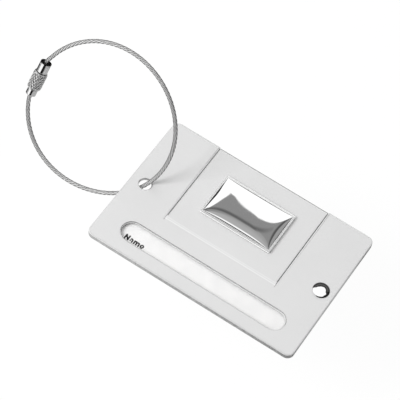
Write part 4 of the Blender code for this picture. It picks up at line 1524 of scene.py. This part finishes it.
def ceiling(x, y):
    """A grey ceiling, lighter to the front, with a dark fold and a shaded right side."""
    value = y.ramp(over=(0.30, 0.05), to=(0.355, 0.47))
    back = left_of(x, y, (-0.14, 0.27), (0.20, 0.56), soft=0.04)
    value = value.toward(0.30, where=back)
    back_left = left_of(x, y, (-0.60, 0.27), (-0.14, 0.27), soft=0.015)
    value = value.toward(0.29, where=back_left)
    fold = close_to(x, y, (-0.50, 0.265), (-0.14, 0.27), width=0.010, soft=0.05)
    fading = close_to(x, y, (-0.14, 0.27), (0.07, 0.46), width=0.004, soft=0.045)
    fading = fading * x.ramp(over=(0.06, -0.16), to=(0.35, 1.0))
    fold = fold.math("MAXIMUM", fading)
    branch = close_to(x, y, (-0.49, 0.26), (-0.36, 0.03), width=0.008, soft=0.04)
    fold = fold.math("MAXIMUM", branch * 0.8)
    value = value.toward(0.13, where=fold)
    band = x.ramp(over=(0.13, 0.20)) * x.ramp(over=(0.31, 0.25))
    band = band * y.ramp(over=(0.05, 0.30))
    value = value.toward(0.36, where=x.ramp(over=(0.25, 0.31)))
    value = value.toward(0.10, where=band)
    far_left = x.ramp(over=(-0.87, -0.91)) * y.ramp(over=(0.1, 0.2))
    return value.toward(0.10, where=far_left)


def add_whites(value, x, y, z):
    """The white at the back and left, the ceiling's corner reaching up into it."""
    slope = left_of(x, y, (-0.14, 0.48), (0.21, 0.66))
    white = slope.math("MINIMUM", left_of(x, y, (-0.28, 0.60), (-0.14, 0.48)))
    corner = left_of(x, y, (-0.72, 0.38), (-0.49, 0.31)).math(
        "MINIMUM", left_of(x, y, (-0.49, 0.31), (-0.34, 0.60))
    )
    white = white.math("MAXIMUM", corner)
    white = white.math("MAXIMUM", y.ramp(over=(0.588, 0.612)).math("MINIMUM", slope))
    value = value.toward(WHITE, where=white)
    front = y.ramp(over=(-0.14, -0.22)) * (x.ramp(over=(0.12, 0.02)) * z.ramp(over=(0.6, 0.7)))
    value = value.toward(1.1, where=front)
    left = x.ramp(over=(-0.56, -0.62)) * y.ramp(over=(0.26, 0.20))
    value = value.toward(WHITE, where=left)
    low_left = x.ramp(over=(-0.60, -0.70)) * z.ramp(over=(0.60, 0.45))
    low_left = low_left * x.ramp(over=(-0.91, -0.87))
    value = value.toward(WHITE, where=low_left)
    left_line = y.ramp(over=(0.24, 0.36)) * z.ramp(over=(0.02, 0.10))
    return value.toward(0.05, where=x.ramp(over=(-0.75, -0.80)) * left_line)


def add_low_sides(value, x, y, z):
    """Below the ceiling: dark at the back and right, white at the front left, and dark
    gaps at the front."""
    back_z = z - x.ramp(over=(0.0, 0.25), smooth=False) * 0.10
    low_back = back_z.ramp(over=(0.24, 0.16)) * y.ramp(over=(0.02, 0.20))
    value = value.toward(0.012, where=low_back * x.ramp(over=(-0.88, -0.72)))
    right = x.ramp(over=(0.12, 0.3)) * y.ramp(over=(-0.6, -0.3))
    value = value.toward(0.02, where=z.ramp(over=(0.45, 0.30)) * right)
    front_left = x.ramp(over=(-0.02, -0.12)) * y.ramp(over=(0.1, -0.1))
    value = value.toward(WHITE, where=front_left * z.ramp(over=(0.38, 0.28)))
    front_high = z.ramp(over=(0.34, 0.42)) * x.ramp(over=(-0.48, -0.32))
    value = value.toward(BLACK, where=y.ramp(over=(-0.46, -0.54)) * front_high)
    front_side = x.ramp(over=(0.22, 0.34)) * y.ramp(over=(-0.08, -0.2))
    front_side = front_side * z.ramp(over=(0.95, 0.88))
    value = value.toward(BLACK, where=front_side * z.ramp(over=(0.36, 0.46)))
    gap = x.ramp(over=(-0.12, -0.04)) * x.ramp(over=(0.60, 0.52))
    return value.toward(BLACK, where=gap * y.ramp(over=(-0.60, -0.70)))


def make_world():
    """White to the camera, an even surround for matt surfaces, and a drawn studio for
    polished ones."""
    world = bpy.data.worlds.new("studio")
    world.use_nodes = True
    sky = Shader("studio", world.node_tree)
    x, y, z = sky.axes(sky.add("ShaderNodeTexCoord"), 3)
    studio = add_low_sides(add_whites(ceiling(x, y), x, y, z), x, y, z)
    camera_ray, glossy_ray = sky.add(
        "ShaderNodeLightPath", out=("Is Camera Ray", "Is Glossy Ray")
    )
    even = (x * -1.0 + y * -0.5).ramp(over=(-1.0, 1.0), to=(0.62, 0.92), smooth=False)
    value = even.toward(studio, where=glossy_ray).toward(1.0, where=camera_ray)
    colour = sky.add("ShaderNodeCombineXYZ", {0: value, 1: value, 2: value})
    background = sky.add("ShaderNodeBackground", {"Color": colour, "Strength": 1.0})
    sky.output(background, "ShaderNodeOutputWorld")
    # Worlds have these settings only while Cycles is enabled.
    if hasattr(world, "cycles"):
        world.cycles.sampling_method = "NONE"
    bpy.context.scene.world = world


make_world()


# ------------------------------------------------------------------ light and camera
def make_key():
    """A large soft box at the front left: it fills the slot's far wall and the card."""
    lamp = bpy.data.lights.new("softbox", "AREA")
    lamp.shape, lamp.size, lamp.energy = "DISK", 0.32, 3.6
    box = bpy.data.objects.new("softbox", lamp)
    at = Vector((-0.36, -0.34, 0.46))
    box.matrix_world = Matrix.Translation(at) @ at.to_track_quat("Z", "Y").to_matrix().to_4x4()
    box.visible_glossy = False
    box.visible_camera = False
    bpy.context.scene.collection.objects.link(box)


make_key()


def make_camera():
    """A long lens above the front right, looking down to the back left."""
    data = bpy.data.cameras.new("camera")
    data.sensor_width = 36.0
    data.lens = 190.665
    data.clip_start, data.clip_end = 0.01, 50.0
    camera = bpy.data.objects.new("camera", data)
    right = Vector((0.83578146, 0.53800163, 0.10965219))
    down = Vector((0.50854739, -0.68322454, -0.52400742))
    ahead = Vector((-0.20699978, 0.49371902, -0.84462573))
    turn = Matrix((right, -down, -ahead)).transposed().to_4x4()
    camera.matrix_world = Matrix.Translation((0.1310899, -0.3456664, 0.6027738)) @ turn
    bpy.context.scene.collection.objects.link(camera)
    bpy.context.scene.camera = camera


make_camera()
bpy.context.scene.view_settings.view_transform = "Standard"
